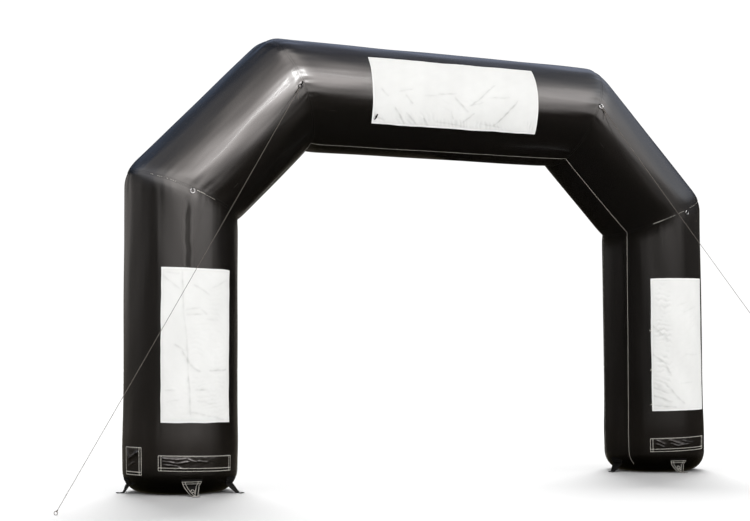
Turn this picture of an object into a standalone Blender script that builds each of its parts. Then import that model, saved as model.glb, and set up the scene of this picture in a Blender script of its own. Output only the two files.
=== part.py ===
"""Inflatable arch: five mitred air tubes on two rounded feet, with three white banners, zip flaps,
a blower pocket, webbing anchor tabs with eyelets, and two guy ropes.

Metres, +Z up. The arch spans X, its front faces -Y, and both feet stand on z = 0.
"""

import math

import bmesh
import bpy
import numpy as np
from mathutils import Matrix, Vector

# Air tube
OVERALL_WIDTH = 9.0
TUBE_RADIUS = 0.735  # the legs at their fullest
SHOULDER_RADIUS = 0.739
BEAM_RADIUS = 0.743
SEAM_RADIUS = 0.731  # where two tubes are sewn together
LEG_MITRE_HEIGHT = 3.838  # the axes of a leg and its shoulder meet here
SHOULDER_RUN = 1.452  # a shoulder rises as far as it runs
CORNER_DROP = 0.028  # how far the outer corner of a mitre is rounded off
SEAM_REACH = 0.25  # a seam draws the tube in over this length
SEAM_STATIONS = (0.0, 0.06, 0.14, SEAM_REACH)
COLUMNS = 40  # facets round a tube

# Rounded foot: a flat disc, and a quarter of an ellipse up to the full tube
CONTACT_RADIUS = 0.478
FOOT_RISE = 0.285
FOOT_STEPS = 6

# Clearances and cloth
GAP = 0.0003  # between two pieces that touch
CLOTH = 0.002  # thickness of a banner, a flap or the pocket
WEBBING = 0.0025  # thickness of a tab or a strap
SEWN_LIFT = 0.0006  # from the skin to the underside of a sheet that lies on it

# Sheets on the tubes, in metres: on a leg the centre is an arc from the front and the bottom a height
# above the floor; on the beam the centre is an X and the bottom an arc up from the front. The slope
# is how far the lower and upper edges rise per metre to the right
SHEET_COLUMNS = ("centre", "width", "bottom", "height", "slope")
LEG_BANNER = (0.0, 0.976, 0.905, 1.952, 0.0)
BEAM_BANNER = (0.03, 2.61, -0.435, 0.995, 0.0)
LEFT_ZIP_FLAP = (-0.006, 1.035, 0.295, 0.205, -0.026)
RIGHT_ZIP_FLAP = (-0.038, 0.975, 0.314, 0.208, 0.027)
POCKET = (-0.925, 0.34, 0.245, 0.362, 0.0)
BANNER_STEP = 0.165  # between rows of a banner's mesh
FLAP_STEP = 0.026  # between rows of a flap's mesh
POCKET_STEP = 0.0475  # between rows of the pocket's mesh

# Anchor tabs round the feet, each with an eyelet; azimuths are in degrees from the front towards +X
TAB_COLUMNS = ("name", "side", "root_azimuth", "tip_azimuth", "reach")
TABS = (
    ("left_front", -1, -7, -6, 0.93),
    ("left_outer", -1, -93, -96, 0.83),
    ("left_inner", -1, 46, 41, 0.92),
    ("left_back", -1, 173, 174, 0.93),
    ("right_front", 1, -7, -2, 0.80),
    ("right_inner", 1, -88, -80, 0.93),
    ("right_outer", 1, 111, 111, 0.8686),
    ("right_back", 1, 173, 178, 0.80),
)
TAB_ROOT_WIDTH = 0.34
TAB_TIP_WIDTH = 0.115
TAB_TOP = 0.205  # height of the tab's upper edge
TAB_LEAVES = 0.15  # height where the tab leaves the skin
TAB_LIFT = 0.0018  # from the skin to the middle of the webbing
TAB_REST = 0.004  # height of the tab's middle where it lies on the floor
TAB_FLAT = 0.085  # length that lies flat
TAB_BEND_STEPS = 5
EYELET_FROM_TIP = 0.045
EYELET_HOLE = 0.016
EYELET_WALL = 0.003
EYELET_FLANGE = 0.010
EYELET_METAL = 0.0012
EYELET_SIDES = 14

# Guy rings at the front of the mitres, and the ropes on the upper two
GUY_COLUMNS = ("name", "side", "upper", "angle", "strap")
GUYS = (
    ("left_lower", -1, False, 7.5, 0.010),
    ("right_lower", 1, False, 10.5, 0.010),
    ("left_upper", -1, True, 5.0, 0.055),
    ("right_upper", 1, True, 7.0, 0.016),
)
RING_RADIUS = 0.028  # to the middle of the wire
WIRE_RADIUS = 0.005
RING_SIDES = (14, 6)
STRAP_WIDTH = 0.024
STRAP_TURN = WIRE_RADIUS + 0.0015 + WEBBING / 2  # radius of the strap's middle round the wire
SLACK = 0.0005  # between a strap or a rope and what it goes round
ROPE_RADIUS = 0.004
ROPE_END = Vector((-5.937, -2.159, 0.0))  # where the left rope meets the floor
ROPE_SAG = 0.015
ROPE_POINTS = 16
EYE_LENGTH = 0.07  # the rope's eye, from the ring's wire to the knot
EYE_RADIUS = 0.011  # half the eye's width, to the middle of the rope
FLOOR_EYE_RADIUS = 0.02
KNOT_LENGTH = 0.03
KNOT_RADIUS = 0.0095
TAIL_LENGTH = 0.12  # the rope's loose end hangs from the knot
TAIL_RADIUS = 0.0032
TAIL_CLEARANCE = 0.013  # how far outside the rope the loose end hangs

LEG_X = OVERALL_WIDTH / 2 - TUBE_RADIUS
BEAM_X = LEG_X - SHOULDER_RUN
BEAM_Z = LEG_MITRE_HEIGHT + SHOULDER_RUN
MITRE_SLOPE = math.tan(math.radians(45) / 2)
FACET = math.tau / COLUMNS
SHARP_ANGLE = math.radians(35)  # edges sharper than this stay sharp when a piece is shaded
FRONT = Vector((0.0, -1.0, 0.0))
DOWN = Vector((0.0, 0.0, -1.0))

# Each finish: sRGB colour, roughness, metallic
FINISHES = {
    "coated_fabric": ("1C1B1A", 0.32, 0.0),
    "banner_cloth": ("F2F2F0", 0.7, 0.0),
    "flap_fabric": ("22201F", 0.4, 0.0),
    "webbing": ("1A1A1A", 0.75, 0.0),
    "steel": ("C4C5C7", 0.28, 1.0),
    "rope": ("6E5A50", 0.8, 0.0),
}

# Main folds of the cloths, in metres: from (u0, v0) to (u1, v1), u from the middle, v from the bottom
FOLD_COLUMNS = ("u0", "v0", "u1", "v1", "height", "width")
LEFT_BANNER_FOLDS = (
    (-0.21, 1.95, -0.20, 0.80, 0.007, 0.07),
    (-0.20, 0.80, -0.02, 0.62, 0.006, 0.07),
    (-0.15, 0.60, -0.13, 0.04, 0.006, 0.06),
    (-0.44, 0.42, 0.10, 0.42, 0.005, 0.06),
    (0.10, 0.65, 0.36, 0.65, 0.005, 0.06),
    (-0.22, 1.43, 0.03, 1.43, 0.004, 0.07),
)
RIGHT_BANNER_FOLDS = (
    (-0.43, 0.80, -0.23, 0.67, 0.006, 0.07),
    (-0.23, 0.67, -0.15, 0.47, 0.006, 0.06),
    (-0.47, 0.30, -0.10, 0.12, 0.007, 0.06),
    (-0.47, 0.10, 0.05, 0.02, 0.006, 0.06),
)
BEAM_BANNER_FOLDS = (
    (-0.92, 0.25, -0.80, 0.03, 0.006, 0.07),
    (-0.78, 0.19, -0.62, 0.04, 0.006, 0.06),
    (0.50, 0.70, 0.08, 0.34, 0.006, 0.08),
    (-0.47, 0.43, 0.0, 0.50, 0.005, 0.08),
    (0.60, 0.08, 1.00, 0.36, 0.007, 0.10),
)
ZIP_FLAP_FOLDS = (
    (-0.47, 0.17, -0.05, 0.12, 0.006, 0.028),
    (-0.47, 0.11, -0.12, 0.09, 0.005, 0.026),
    (-0.47, 0.05, -0.15, 0.07, 0.005, 0.026),
)
POCKET_FOLDS = (
    (-0.13, 0.19, 0.12, 0.29, 0.012, 0.030),
    (-0.11, 0.10, 0.04, 0.17, 0.008, 0.030),
)


# ---------------------------------------------------------------- objects and materials


def linear(channel):
    """One sRGB channel, 0 to 1, as a linear value."""
    if channel <= 0.04045:
        return channel / 12.92
    return ((channel + 0.055) / 1.055) ** 2.4


def finish_of(name, kind):
    """The object's own Principled material, from the table of finishes."""
    colour, roughness, metallic = FINISHES[kind]
    channels = [linear(int(colour[i : i + 2], 16) / 255) for i in (0, 2, 4)]
    material = bpy.data.materials.new(f"{name}_{kind}")
    material.use_nodes = True
    shader = material.node_tree.nodes["Principled BSDF"]
    shader.inputs["Base Color"].default_value = (*channels, 1.0)
    shader.inputs["Roughness"].default_value = roughness
    shader.inputs["Metallic"].default_value = metallic
    material.diffuse_color = (*channels, 1.0)
    return material


def place(name, data, kind, collection):
    """Links a mesh or curve into the arch as one named piece."""
    data.name = name
    obj = bpy.data.objects.new(name, data)
    obj.data.materials.append(finish_of(name, kind))
    collection.objects.link(obj)
    return obj


def mesh_of(bm):
    """A smooth-shaded mesh with sharp edges kept, from a bmesh that is then freed."""
    mesh = bpy.data.meshes.new("piece")
    bm.to_mesh(mesh)
    bm.free()
    mesh.shade_smooth()
    mesh.set_sharp_from_angle(angle=SHARP_ANGLE)
    return mesh


def basis(x_axis, y_axis, z_axis, origin):
    """The matrix that takes local axes to these three and the local origin to this point."""
    matrix = Matrix((x_axis, y_axis, z_axis)).transposed().to_4x4()
    matrix.translation = origin
    return matrix


# ---------------------------------------------------------------- air tubes


def foot_rings():
    """(radius, height) of each ring of the foot's rounded side, from the disc up to the full tube."""
    rings = []
    for i in range(FOOT_STEPS + 1):
        turn = math.radians(90) * (1 - i / FOOT_STEPS)
        radius = CONTACT_RADIUS + (TUBE_RADIUS - CONTACT_RADIUS) * math.cos(turn)
        rings.append((radius, FOOT_RISE * (1 - math.sin(turn))))
    return rings


FOOT_RINGS = foot_rings()


def leg_radius(height):
    """A leg's radius at a height, along the straight line between two rings of its foot."""
    radii, heights = zip(*FOOT_RINGS)
    return float(np.interp(height, heights, radii))


def facet_share(angle):
    """The distance from the axis to the flat facet at an angle, as a share of the radius."""
    return math.cos(FACET / 2) / math.cos(angle % FACET - FACET / 2)


class Tube:
    """A straight tube of the arch, walked from the left foot over to the right one.

    An angle is measured round the tube from the front towards the arch's outer side.
    """

    def __init__(self, start, end, radius, mitred_start=True, mitred_end=True):
        self.start = Vector((start[0], 0.0, start[1]))
        span = Vector((end[0], 0.0, end[1])) - self.start
        self.length = span.length
        self.along = span.normalized()
        self.outward = Vector((-self.along.z, 0.0, self.along.x))
        self.full_radius = radius
        self.mitred_start = mitred_start
        self.mitred_end = mitred_end

    def radius_from_seam(self, angle, distance):
        """The tube's radius at this distance from a seam, drawn in most at the outer corner."""
        if distance >= SEAM_REACH:
            return self.full_radius
        corner = CORNER_DROP * max(0.0, math.sin(angle)) ** 2
        drawn_in = self.full_radius - SEAM_RADIUS + corner
        return self.full_radius - drawn_in * (1 - distance / SEAM_REACH) ** 2

    def seam(self, angle, at_end):
        """How far along the tube the mitre cuts it at this angle."""
        reach = self.radius_from_seam(angle, 0.0) * math.sin(angle) * MITRE_SLOPE
        return self.length + reach - GAP / 2 if at_end else -reach + GAP / 2

    def point(self, angle, along, radius):
        """A point at this angle, distance along the axis and radius."""
        radial = FRONT * math.cos(angle) + self.outward * math.sin(angle)
        return self.start + self.along * along + radial * radius

    def seam_ring(self, distance, at_end):
        """The tube's section at a distance from one of its mitres."""
        ring = []
        for column in range(COLUMNS):
            angle = FACET * column
            cut = self.seam(angle, at_end)
            along = cut - distance if at_end else cut + distance
            ring.append(self.point(angle, along, self.radius_from_seam(angle, distance)))
        return ring

    def foot_ring(self, radius, height):
        """The foot's section at a height above the floor."""
        along = self.length - height if self.mitred_start else height
        return [self.point(FACET * column, along, radius) for column in range(COLUMNS)]

    def rings(self):
        """All sections, from the tube's start to its end."""
        if self.mitred_start:
            first = [self.seam_ring(distance, False) for distance in SEAM_STATIONS]
        else:
            first = [self.foot_ring(*ring) for ring in FOOT_RINGS]
        if self.mitred_end:
            last = [self.seam_ring(distance, True) for distance in reversed(SEAM_STATIONS)]
        else:
            last = [self.foot_ring(*ring) for ring in reversed(FOOT_RINGS)]
        return first + last

    def skin(self, angle, along, lift):
        """A point on the faceted skin away from the mitres, raised by a lift."""
        radius = self.full_radius
        if not (self.mitred_start and self.mitred_end):
            radius = leg_radius(self.length - along if self.mitred_start else along)
        return self.point(angle, along, radius * facet_share(angle) + lift)


TUBES = {
    "leg_left": Tube((-LEG_X, 0), (-LEG_X, LEG_MITRE_HEIGHT), TUBE_RADIUS, mitred_start=False),
    "shoulder_left": Tube((-LEG_X, LEG_MITRE_HEIGHT), (-BEAM_X, BEAM_Z), SHOULDER_RADIUS),
    "beam": Tube((-BEAM_X, BEAM_Z), (BEAM_X, BEAM_Z), BEAM_RADIUS),
    "shoulder_right": Tube((BEAM_X, BEAM_Z), (LEG_X, LEG_MITRE_HEIGHT), SHOULDER_RADIUS),
    "leg_right": Tube((LEG_X, LEG_MITRE_HEIGHT), (LEG_X, 0), TUBE_RADIUS, mitred_end=False),
}


def loft(rings):
    """A closed skin through sections that have the same number of points."""
    bm = bmesh.new()
    loops = [[bm.verts.new(point) for point in ring] for ring in rings]
    for low, high in zip(loops, loops[1:]):
        for i in range(len(low)):
            j = (i + 1) % len(low)
            bm.faces.new((low[i], low[j], high[j], high[i]))
    bm.faces.new(loops[0])
    bm.faces.new(loops[-1])
    bmesh.ops.recalc_face_normals(bm, faces=bm.faces)
    return mesh_of(bm)


# ---------------------------------------------------------------- cloth on the tubes


def fold_height(folds, u, v):
    """How far the folds raise the cloth at a point, each a soft ridge that fades at its ends."""
    total = 0.0
    for row in folds:
        fold = dict(zip(FOLD_COLUMNS, row))
        start = Vector((fold["u0"], fold["v0"]))
        span = Vector((fold["u1"], fold["v1"])) - start
        share = (Vector((u, v)) - start).dot(span) / span.length_squared
        nearest = start + span * min(1.0, max(0.0, share))
        away = (Vector((u, v)) - nearest).length
        total += fold["height"] * math.exp(-((away / fold["width"]) ** 2))
    return total


def stations(first, last, step):
    """The two ends and the multiples of a step between them, none of them on an end."""
    between = [i * step for i in range(math.ceil(first / step), math.floor(last / step) + 1)]
    margin = step / 20
    return [first, *[spot for spot in between if first + margin < spot < last - margin], last]


def sheet_grid(columns, rows, place_at):
    """A bmesh grid whose points are place_at(column, row) for every pair of stations."""
    bm = bmesh.new()
    across, up = len(columns) - 1, len(rows) - 1
    bmesh.ops.create_grid(bm, x_segments=across, y_segments=up, size=0.5)
    for vert in bm.verts:
        column = columns[round((vert.co.x + 0.5) * across)]
        row = rows[round((vert.co.y + 0.5) * up)]
        vert.co = place_at(column, row)
    return bm


def cloth(place_at, sheet, facet_across, step, folds):
    """A sheet with soft folds; place_at(across, up, lift) is a point over the tube's skin.

    The stations that run round the tube follow half its facets, so the cloth bends where the skin does.
    """
    size = dict(zip(SHEET_COLUMNS, sheet))
    half = size["width"] / 2
    left, right = size["centre"] - half, size["centre"] + half
    bottom, top = size["bottom"], size["bottom"] + size["height"]
    if facet_across:
        columns = stations(left, right, TUBE_RADIUS * FACET / 2)
        rows = stations(bottom, top, step)
    else:
        columns = stations(left, right, step)
        rows = stations(bottom, top, BEAM_RADIUS * FACET / 2)

    def folded(across, up, lift=0.0):
        u = across - size["centre"]
        relief = fold_height(folds, u, up - bottom)
        return place_at(across, up + size["slope"] * u, SEWN_LIFT + relief + lift)

    bm = sheet_grid(columns, rows, folded)
    middle = (columns[len(columns) // 2], rows[len(rows) // 2])
    outside = folded(*middle, 1.0) - folded(*middle)
    bm.normal_update()
    if sum(face.normal.dot(outside) for face in bm.faces) < 0:
        bmesh.ops.reverse_faces(bm, faces=bm.faces)
    return mesh_of(bm)


def thicken(obj, thickness, offset):
    """Gives a sheet its thickness: offset 1 keeps its inner side, 0 its middle."""
    solid = obj.modifiers.new("thickness", "SOLIDIFY")
    solid.thickness = thickness
    solid.offset = offset
    solid.use_even_offset = False
    return obj


def on_leg(side):
    """Places cloth on a leg: across is the arc from the front towards +X, up is the height."""
    tube = TUBES["leg_left" if side < 0 else "leg_right"]

    def place_at(across, up, lift):
        along = up if side < 0 else tube.length - up
        return tube.skin(side * across / TUBE_RADIUS, along, lift)

    return place_at


def on_beam(across, up, lift):
    """Places cloth on the beam: across is X, up is the arc from the front."""
    return TUBES["beam"].skin(up / BEAM_RADIUS, BEAM_X + across, lift)


def add_cloths(arch):
    """The banners, the zip flaps and the blower pocket."""
    leg_cloths = (
        ("banner_left", -1, LEG_BANNER, BANNER_STEP, LEFT_BANNER_FOLDS, "banner_cloth"),
        ("banner_right", 1, LEG_BANNER, BANNER_STEP, RIGHT_BANNER_FOLDS, "banner_cloth"),
        ("zip_flap_left", -1, LEFT_ZIP_FLAP, FLAP_STEP, ZIP_FLAP_FOLDS, "flap_fabric"),
        ("zip_flap_right", 1, RIGHT_ZIP_FLAP, FLAP_STEP, ZIP_FLAP_FOLDS, "flap_fabric"),
        ("blower_pocket", -1, POCKET, POCKET_STEP, POCKET_FOLDS, "flap_fabric"),
    )
    for name, side, sheet, step, folds, kind in leg_cloths:
        mesh = cloth(on_leg(side), sheet, True, step, folds)
        thicken(place(name, mesh, kind, arch), CLOTH, offset=1.0)
    mesh = cloth(on_beam, BEAM_BANNER, False, BANNER_STEP, BEAM_BANNER_FOLDS)
    thicken(place("banner_beam", mesh, "banner_cloth", arch), CLOTH, offset=1.0)


# ---------------------------------------------------------------- anchor tabs


def tab_profile(reach):
    """(radius, height, share of the way to the tip) down a tab: on the skin, then out on the floor."""
    profile = [(leg_radius(height), height, 0.0) for height in (TAB_TOP, TAB_LEAVES)]
    start = Vector((leg_radius(TAB_LEAVES), TAB_LEAVES))
    end = Vector((reach - TAB_FLAT, TAB_REST))
    bend = Vector((start.x + 0.02, TAB_REST))
    way = (end - start).length
    for i in range(1, TAB_BEND_STEPS + 1):
        t = i / TAB_BEND_STEPS
        spot = start * (1 - t) ** 2 + bend * 2 * t * (1 - t) + end * t**2
        profile.append((spot.x, spot.y, t * way / (way + TAB_FLAT)))
    profile.append((reach, TAB_REST, 1.0))
    return profile


def add_tab(name, side, root_azimuth, tip_azimuth, reach, arch, cutters):
    """One anchor tab, and the steel eyelet that grips the edge of its hole."""
    axis = Vector((side * LEG_X, 0.0, 0.0))
    root, tip = math.radians(root_azimuth), math.radians(tip_azimuth)
    half_root = TAB_ROOT_WIDTH / 2 / TUBE_RADIUS
    edges = stations(root - half_root, root + half_root, FACET)
    profile = tab_profile(reach)

    def spot(edge, row):
        radius, height, way = profile[row]
        share = (edge - root) / half_root
        if way == 0.0:
            radius, azimuth, aside = radius * facet_share(edge) + TAB_LIFT, edge, 0.0
        else:
            width = TAB_ROOT_WIDTH + (TAB_TIP_WIDTH - TAB_ROOT_WIDTH) * way
            azimuth, aside = root + (tip - root) * way, share * width / 2
        outward = Vector((math.sin(azimuth), -math.cos(azimuth), 0.0))
        sideways = Vector((math.cos(azimuth), math.sin(azimuth), 0.0))
        return axis + outward * radius + sideways * aside + Vector((0, 0, height))

    mesh = mesh_of(sheet_grid(edges, range(len(profile)), spot))
    tab = thicken(place(f"tab_{name}", mesh, "webbing", arch), WEBBING, offset=0.0)

    outward = Vector((math.sin(tip), -math.cos(tip), 0.0))
    middle = axis + outward * (reach - EYELET_FROM_TIP) + Vector((0, 0, TAB_REST))
    hole = EYELET_HOLE + EYELET_WALL
    bm = bmesh.new()
    bmesh.ops.create_cone(
        bm,
        cap_ends=True,
        segments=EYELET_SIDES,
        radius1=hole + GAP,
        radius2=hole + GAP,
        depth=4 * WEBBING,
        matrix=Matrix.Translation(middle) @ Matrix.Rotation(math.radians(90), 4, "Z"),
    )
    cutter = place(f"cutter_{name}", mesh_of(bm), "webbing", cutters)
    cutter.hide_render = True
    cutter.display_type = "WIRE"
    cut = tab.modifiers.new("eyelet hole", "BOOLEAN")
    cut.operation = "DIFFERENCE"
    cut.solver = "EXACT"
    cut.object = cutter

    eyelet = place(f"eyelet_{name}", eyelet_profile(hole), "steel", arch)
    eyelet.location = middle
    turn = eyelet.modifiers.new("turn", "SCREW")
    turn.angle = math.tau
    turn.steps = EYELET_SIDES
    turn.render_steps = EYELET_SIDES
    turn.use_merge_vertices = True
    turn.merge_threshold = 0.00001


def eyelet_profile(hole):
    """Half the section of an eyelet, which is turned about Z: a wall with a flange at each end."""
    inner = WEBBING / 2 + GAP
    outer = inner + EYELET_METAL
    rim = EYELET_HOLE + EYELET_FLANGE
    section = (
        (EYELET_HOLE, outer),
        (rim - EYELET_METAL, outer),
        (rim, inner),
        (hole, inner),
        (hole, -inner),
        (rim, -inner),
        (rim - EYELET_METAL, -outer),
        (EYELET_HOLE, -outer),
    )
    bm = bmesh.new()
    corners = [bm.verts.new((radius, 0.0, height)) for radius, height in section]
    for first, second in zip(corners, corners[1:] + corners[:1]):
        bm.edges.new((first, second))
    return mesh_of(bm)


# ---------------------------------------------------------------- guy rings and ropes


def ring_mesh(matrix, radius, wire):
    """A ring of round wire, its axis along the matrix's third axis."""
    major, minor = RING_SIDES
    bpy.ops.mesh.primitive_torus_add(
        major_segments=major,
        minor_segments=minor,
        major_radius=radius,
        minor_radius=wire,
    )
    made = bpy.context.object
    mesh = made.data
    bpy.data.objects.remove(made)
    mesh.transform(matrix)
    mesh.shade_smooth()
    return mesh


class GuyPoint:
    """A strap sewn into a mitre at the front, and which way its ring is pulled.

    It is worked out on the arch's left side; a right one is mirrored when it is placed.
    """

    def __init__(self, name, side, upper, angle, strap):
        self.name = name
        self.side = side
        self.strap = strap
        tube = TUBES["shoulder_left" if upper else "leg_left"]
        turn = math.radians(angle)
        radius = tube.radius_from_seam(turn, 0.0) * facet_share(turn) + 3 * GAP
        self.root = tube.point(turn, tube.seam(turn, True), radius)
        self.pull = (ROPE_END - self.root).normalized() if upper else DOWN
        facet_turn = FACET * (turn // FACET + 0.5)
        facet_normal = FRONT * math.cos(facet_turn) + tube.outward * math.sin(facet_turn)
        self.sideways = self.pull.cross(facet_normal).normalized()
        self.outward = self.sideways.cross(self.pull).normalized()
        self.wire_lift = WEBBING / 2 + STRAP_TURN

    def spot(self, along, lift):
        return self.root + self.pull * along + self.outward * lift

    def ring_centre(self):
        return self.spot(self.strap + RING_RADIUS, self.wire_lift)

    def far_wire(self):
        """The middle of the ring's wire on the side that is pulled."""
        return self.ring_centre() + self.pull * RING_RADIUS

    def strap_path(self):
        """(along, lift, bend) from the seam, round the ring's wire and back to the seam.

        The bend is how far a row follows the curve of the ring across the strap.
        """
        near = WEBBING / 2
        back = near + WEBBING + 4 * SLACK
        path = [(0.0, near, 0.0), (self.strap * 0.5, near, 0.5)]
        for degrees in range(-90, 136, 45):
            t = math.radians(degrees)
            out, up = STRAP_TURN * math.cos(t), STRAP_TURN * math.sin(t)
            path.append((self.strap + out, self.wire_lift + up, 1.0))
        path.append((0.0, back, 0.0))
        return path

    def strap_mesh(self):
        half = STRAP_WIDTH / 2
        ring_drop = RING_RADIUS - math.sqrt(RING_RADIUS**2 - half**2)
        path = self.strap_path()

        def place_at(share, row):
            along, lift, bend = path[row]
            spot = self.spot(along + abs(share) * bend * ring_drop, lift)
            return spot + self.sideways * (half * share)

        return mesh_of(sheet_grid((-1, 0, 1), range(len(path)), place_at))

    def ring(self):
        matrix = basis(self.pull, self.sideways, self.pull.cross(self.sideways), self.ring_centre())
        return ring_mesh(matrix, RING_RADIUS, WIRE_RADIUS)


def mirrored(mesh, side):
    """The mesh itself on the left side, and turned into its mirror image on the right."""
    if side > 0:
        mesh.transform(Matrix.Diagonal((-1.0, 1.0, 1.0, 1.0)))
        mesh.flip_normals()
    return mesh


def evaluated_mesh(obj):
    """The mesh of an object as its modifiers or its bevel make it."""
    bpy.context.view_layer.update()
    return bpy.data.meshes.new_from_object(obj.evaluated_get(bpy.context.evaluated_depsgraph_get()))


def fuse(pieces):
    """Joins overlapping meshes into one closed solid."""
    objects = [bpy.data.objects.new("solid", mesh) for mesh in pieces]
    for obj in objects:
        bpy.context.scene.collection.objects.link(obj)
    base = objects[0]
    for other in objects[1:]:
        union = base.modifiers.new("union", "BOOLEAN")
        union.operation = "UNION"
        union.solver = "EXACT"
        union.object = other
    mesh = evaluated_mesh(base)
    for obj in objects:
        bpy.data.objects.remove(obj)
    return mesh


def rope_curve(points, radius, closed=False):
    """A round rope along a polyline, its ends capped."""
    curve = bpy.data.curves.new("rope", "CURVE")
    curve.dimensions = "3D"
    curve.bevel_depth = radius
    curve.bevel_resolution = 2
    curve.use_fill_caps = not closed
    spline = curve.splines.new("POLY")
    spline.points.add(len(points) - 1)
    spline.use_cyclic_u = closed
    for target, point in zip(spline.points, points):
        target.co = (*point, 1.0)
    return curve


def rope_mesh(points, radius, closed=False):
    """A closed mesh of a short length of rope."""
    made = bpy.data.objects.new("rope", rope_curve(points, radius, closed))
    bpy.context.scene.collection.objects.link(made)
    mesh = evaluated_mesh(made)
    bpy.data.objects.remove(made)
    bm = bmesh.new()
    bm.from_mesh(mesh)
    bmesh.ops.remove_doubles(bm, verts=bm.verts, dist=0.00001)
    return mesh_of(bm)


def eye_and_knot(start, direction, sideways, half_width, length):
    """A rope's eye, its near end at start, and the knot that closes it."""
    near = start + direction * half_width
    far = start + direction * (length - half_width)
    loop = []
    for centre, first in ((near, 90), (far, 270)):
        for degrees in range(first, first + 181, 45):
            t = math.radians(degrees)
            loop.append(centre + (direction * math.cos(t) + sideways * math.sin(t)) * half_width)
    bm = bmesh.new()
    bmesh.ops.create_uvsphere(bm, u_segments=10, v_segments=8, radius=1.0)
    knot_middle = start + direction * (length + KNOT_LENGTH / 2 - 2 * ROPE_RADIUS)
    matrix = basis(sideways, direction.cross(sideways), direction, knot_middle)
    bm.transform(matrix @ Matrix.Diagonal((KNOT_RADIUS, KNOT_RADIUS, KNOT_LENGTH / 2, 1.0)))
    return [rope_mesh(loop, ROPE_RADIUS, closed=True), mesh_of(bm)]


def knot_reach(length):
    """How far the knot of an eye reaches from the eye's near end."""
    return length + KNOT_LENGTH - 2 * ROPE_RADIUS


def add_rope(guy, word, arch):
    """A guy rope: an eye and knot on the ring, the taut run, and a knotted eye on the floor."""
    round_wire = WIRE_RADIUS + ROPE_RADIUS + SLACK
    start = guy.far_wire() - guy.pull * round_wire
    pieces = eye_and_knot(start, guy.pull, guy.outward, EYE_RADIUS, EYE_LENGTH)
    root = start + guy.pull * EYE_LENGTH
    clear = root + guy.outward * TAIL_CLEARANCE
    tail = [root, clear + DOWN * TAIL_CLEARANCE, clear + DOWN * TAIL_LENGTH]
    pieces.append(rope_mesh(tail, TAIL_RADIUS))
    place(f"guy_knot_{word}", mirrored(fuse(pieces), guy.side), "rope", arch)

    top = start + guy.pull * (knot_reach(EYE_LENGTH) + GAP)
    floor_eye = ROPE_END - DOWN * (2 * ROPE_RADIUS)
    up = (top - floor_eye).normalized()
    aside = up.cross(FRONT).normalized()
    eye = fuse(eye_and_knot(floor_eye, up, aside, FLOOR_EYE_RADIUS, 2 * FLOOR_EYE_RADIUS))
    place(f"guy_eye_{word}", mirrored(eye, guy.side), "rope", arch)
    bottom = floor_eye + up * (knot_reach(2 * FLOOR_EYE_RADIUS) + GAP)
    route = []
    for i in range(ROPE_POINTS):
        share = i / (ROPE_POINTS - 1)
        spot = top.lerp(bottom, share) + DOWN * (4 * ROPE_SAG * share * (1 - share))
        route.append(Vector((-guy.side * spot.x, spot.y, spot.z)))
    place(f"guy_rope_{word}", rope_curve(route, ROPE_RADIUS), "rope", arch)


def add_guys(arch):
    """The straps and rings at the mitres, and a rope from each upper ring to the floor."""
    for row in GUYS:
        guy = GuyPoint(**dict(zip(GUY_COLUMNS, row)))
        strap = place(f"guy_strap_{guy.name}", mirrored(guy.strap_mesh(), guy.side), "webbing", arch)
        thicken(strap, WEBBING, offset=0.0)
        place(f"guy_ring_{guy.name}", mirrored(guy.ring(), guy.side), "steel", arch)
        if guy.pull != DOWN:
            add_rope(guy, "left" if guy.side < 0 else "right", arch)


def main():
    for obj in list(bpy.data.objects):
        bpy.data.objects.remove(obj)
    arch = bpy.data.collections.new("inflatable_arch")
    cutters = bpy.data.collections.new("cutters")
    cutters.hide_render = True
    for collection in (arch, cutters):
        bpy.context.scene.collection.children.link(collection)
    for name, tube in TUBES.items():
        place(name, loft(tube.rings()), "coated_fabric", arch)
    add_cloths(arch)
    for row in TABS:
        add_tab(**dict(zip(TAB_COLUMNS, row)), arch=arch, cutters=cutters)
    add_guys(arch)


main()
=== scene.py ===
"""Looks of a free-standing inflatable event arch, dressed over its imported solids.

Metres, +Z up. The arch spans X, its front faces -Y, and both feet stand on z = 0. Five air tubes are sewn
together at mitres; cloth banners, zip flaps, a blower pocket, anchor tabs and guy ropes sit on them.
"""

import math
from collections import namedtuple

import bmesh
import bpy
import numpy as np
from bpy.props import FloatProperty, FloatVectorProperty, PointerProperty
from mathutils import Matrix, Vector


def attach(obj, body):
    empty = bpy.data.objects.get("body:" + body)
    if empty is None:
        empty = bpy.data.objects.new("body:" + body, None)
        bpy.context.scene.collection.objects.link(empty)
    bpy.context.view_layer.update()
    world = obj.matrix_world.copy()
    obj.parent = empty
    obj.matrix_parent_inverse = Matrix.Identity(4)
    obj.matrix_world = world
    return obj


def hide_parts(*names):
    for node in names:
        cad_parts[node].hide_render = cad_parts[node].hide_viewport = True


bl_info = {
    "name": "Inflatable Arch",
    "version": (1, 0, 0),
    "blender": (4, 5, 0),
    "location": "3D View > Sidebar > Arch",
    "description": "Coated air tubes, banners, flaps, anchor tabs and guy ropes of an inflatable arch",
    "category": "Object",
}

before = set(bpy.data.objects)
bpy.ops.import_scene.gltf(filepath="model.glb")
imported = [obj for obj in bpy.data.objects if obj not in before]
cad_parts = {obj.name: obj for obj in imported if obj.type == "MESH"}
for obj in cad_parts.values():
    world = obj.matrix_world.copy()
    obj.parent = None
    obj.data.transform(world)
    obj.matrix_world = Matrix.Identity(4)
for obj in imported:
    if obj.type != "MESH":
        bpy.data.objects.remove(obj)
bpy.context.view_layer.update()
BODY = "root"

# -------- the arch's measures

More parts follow.
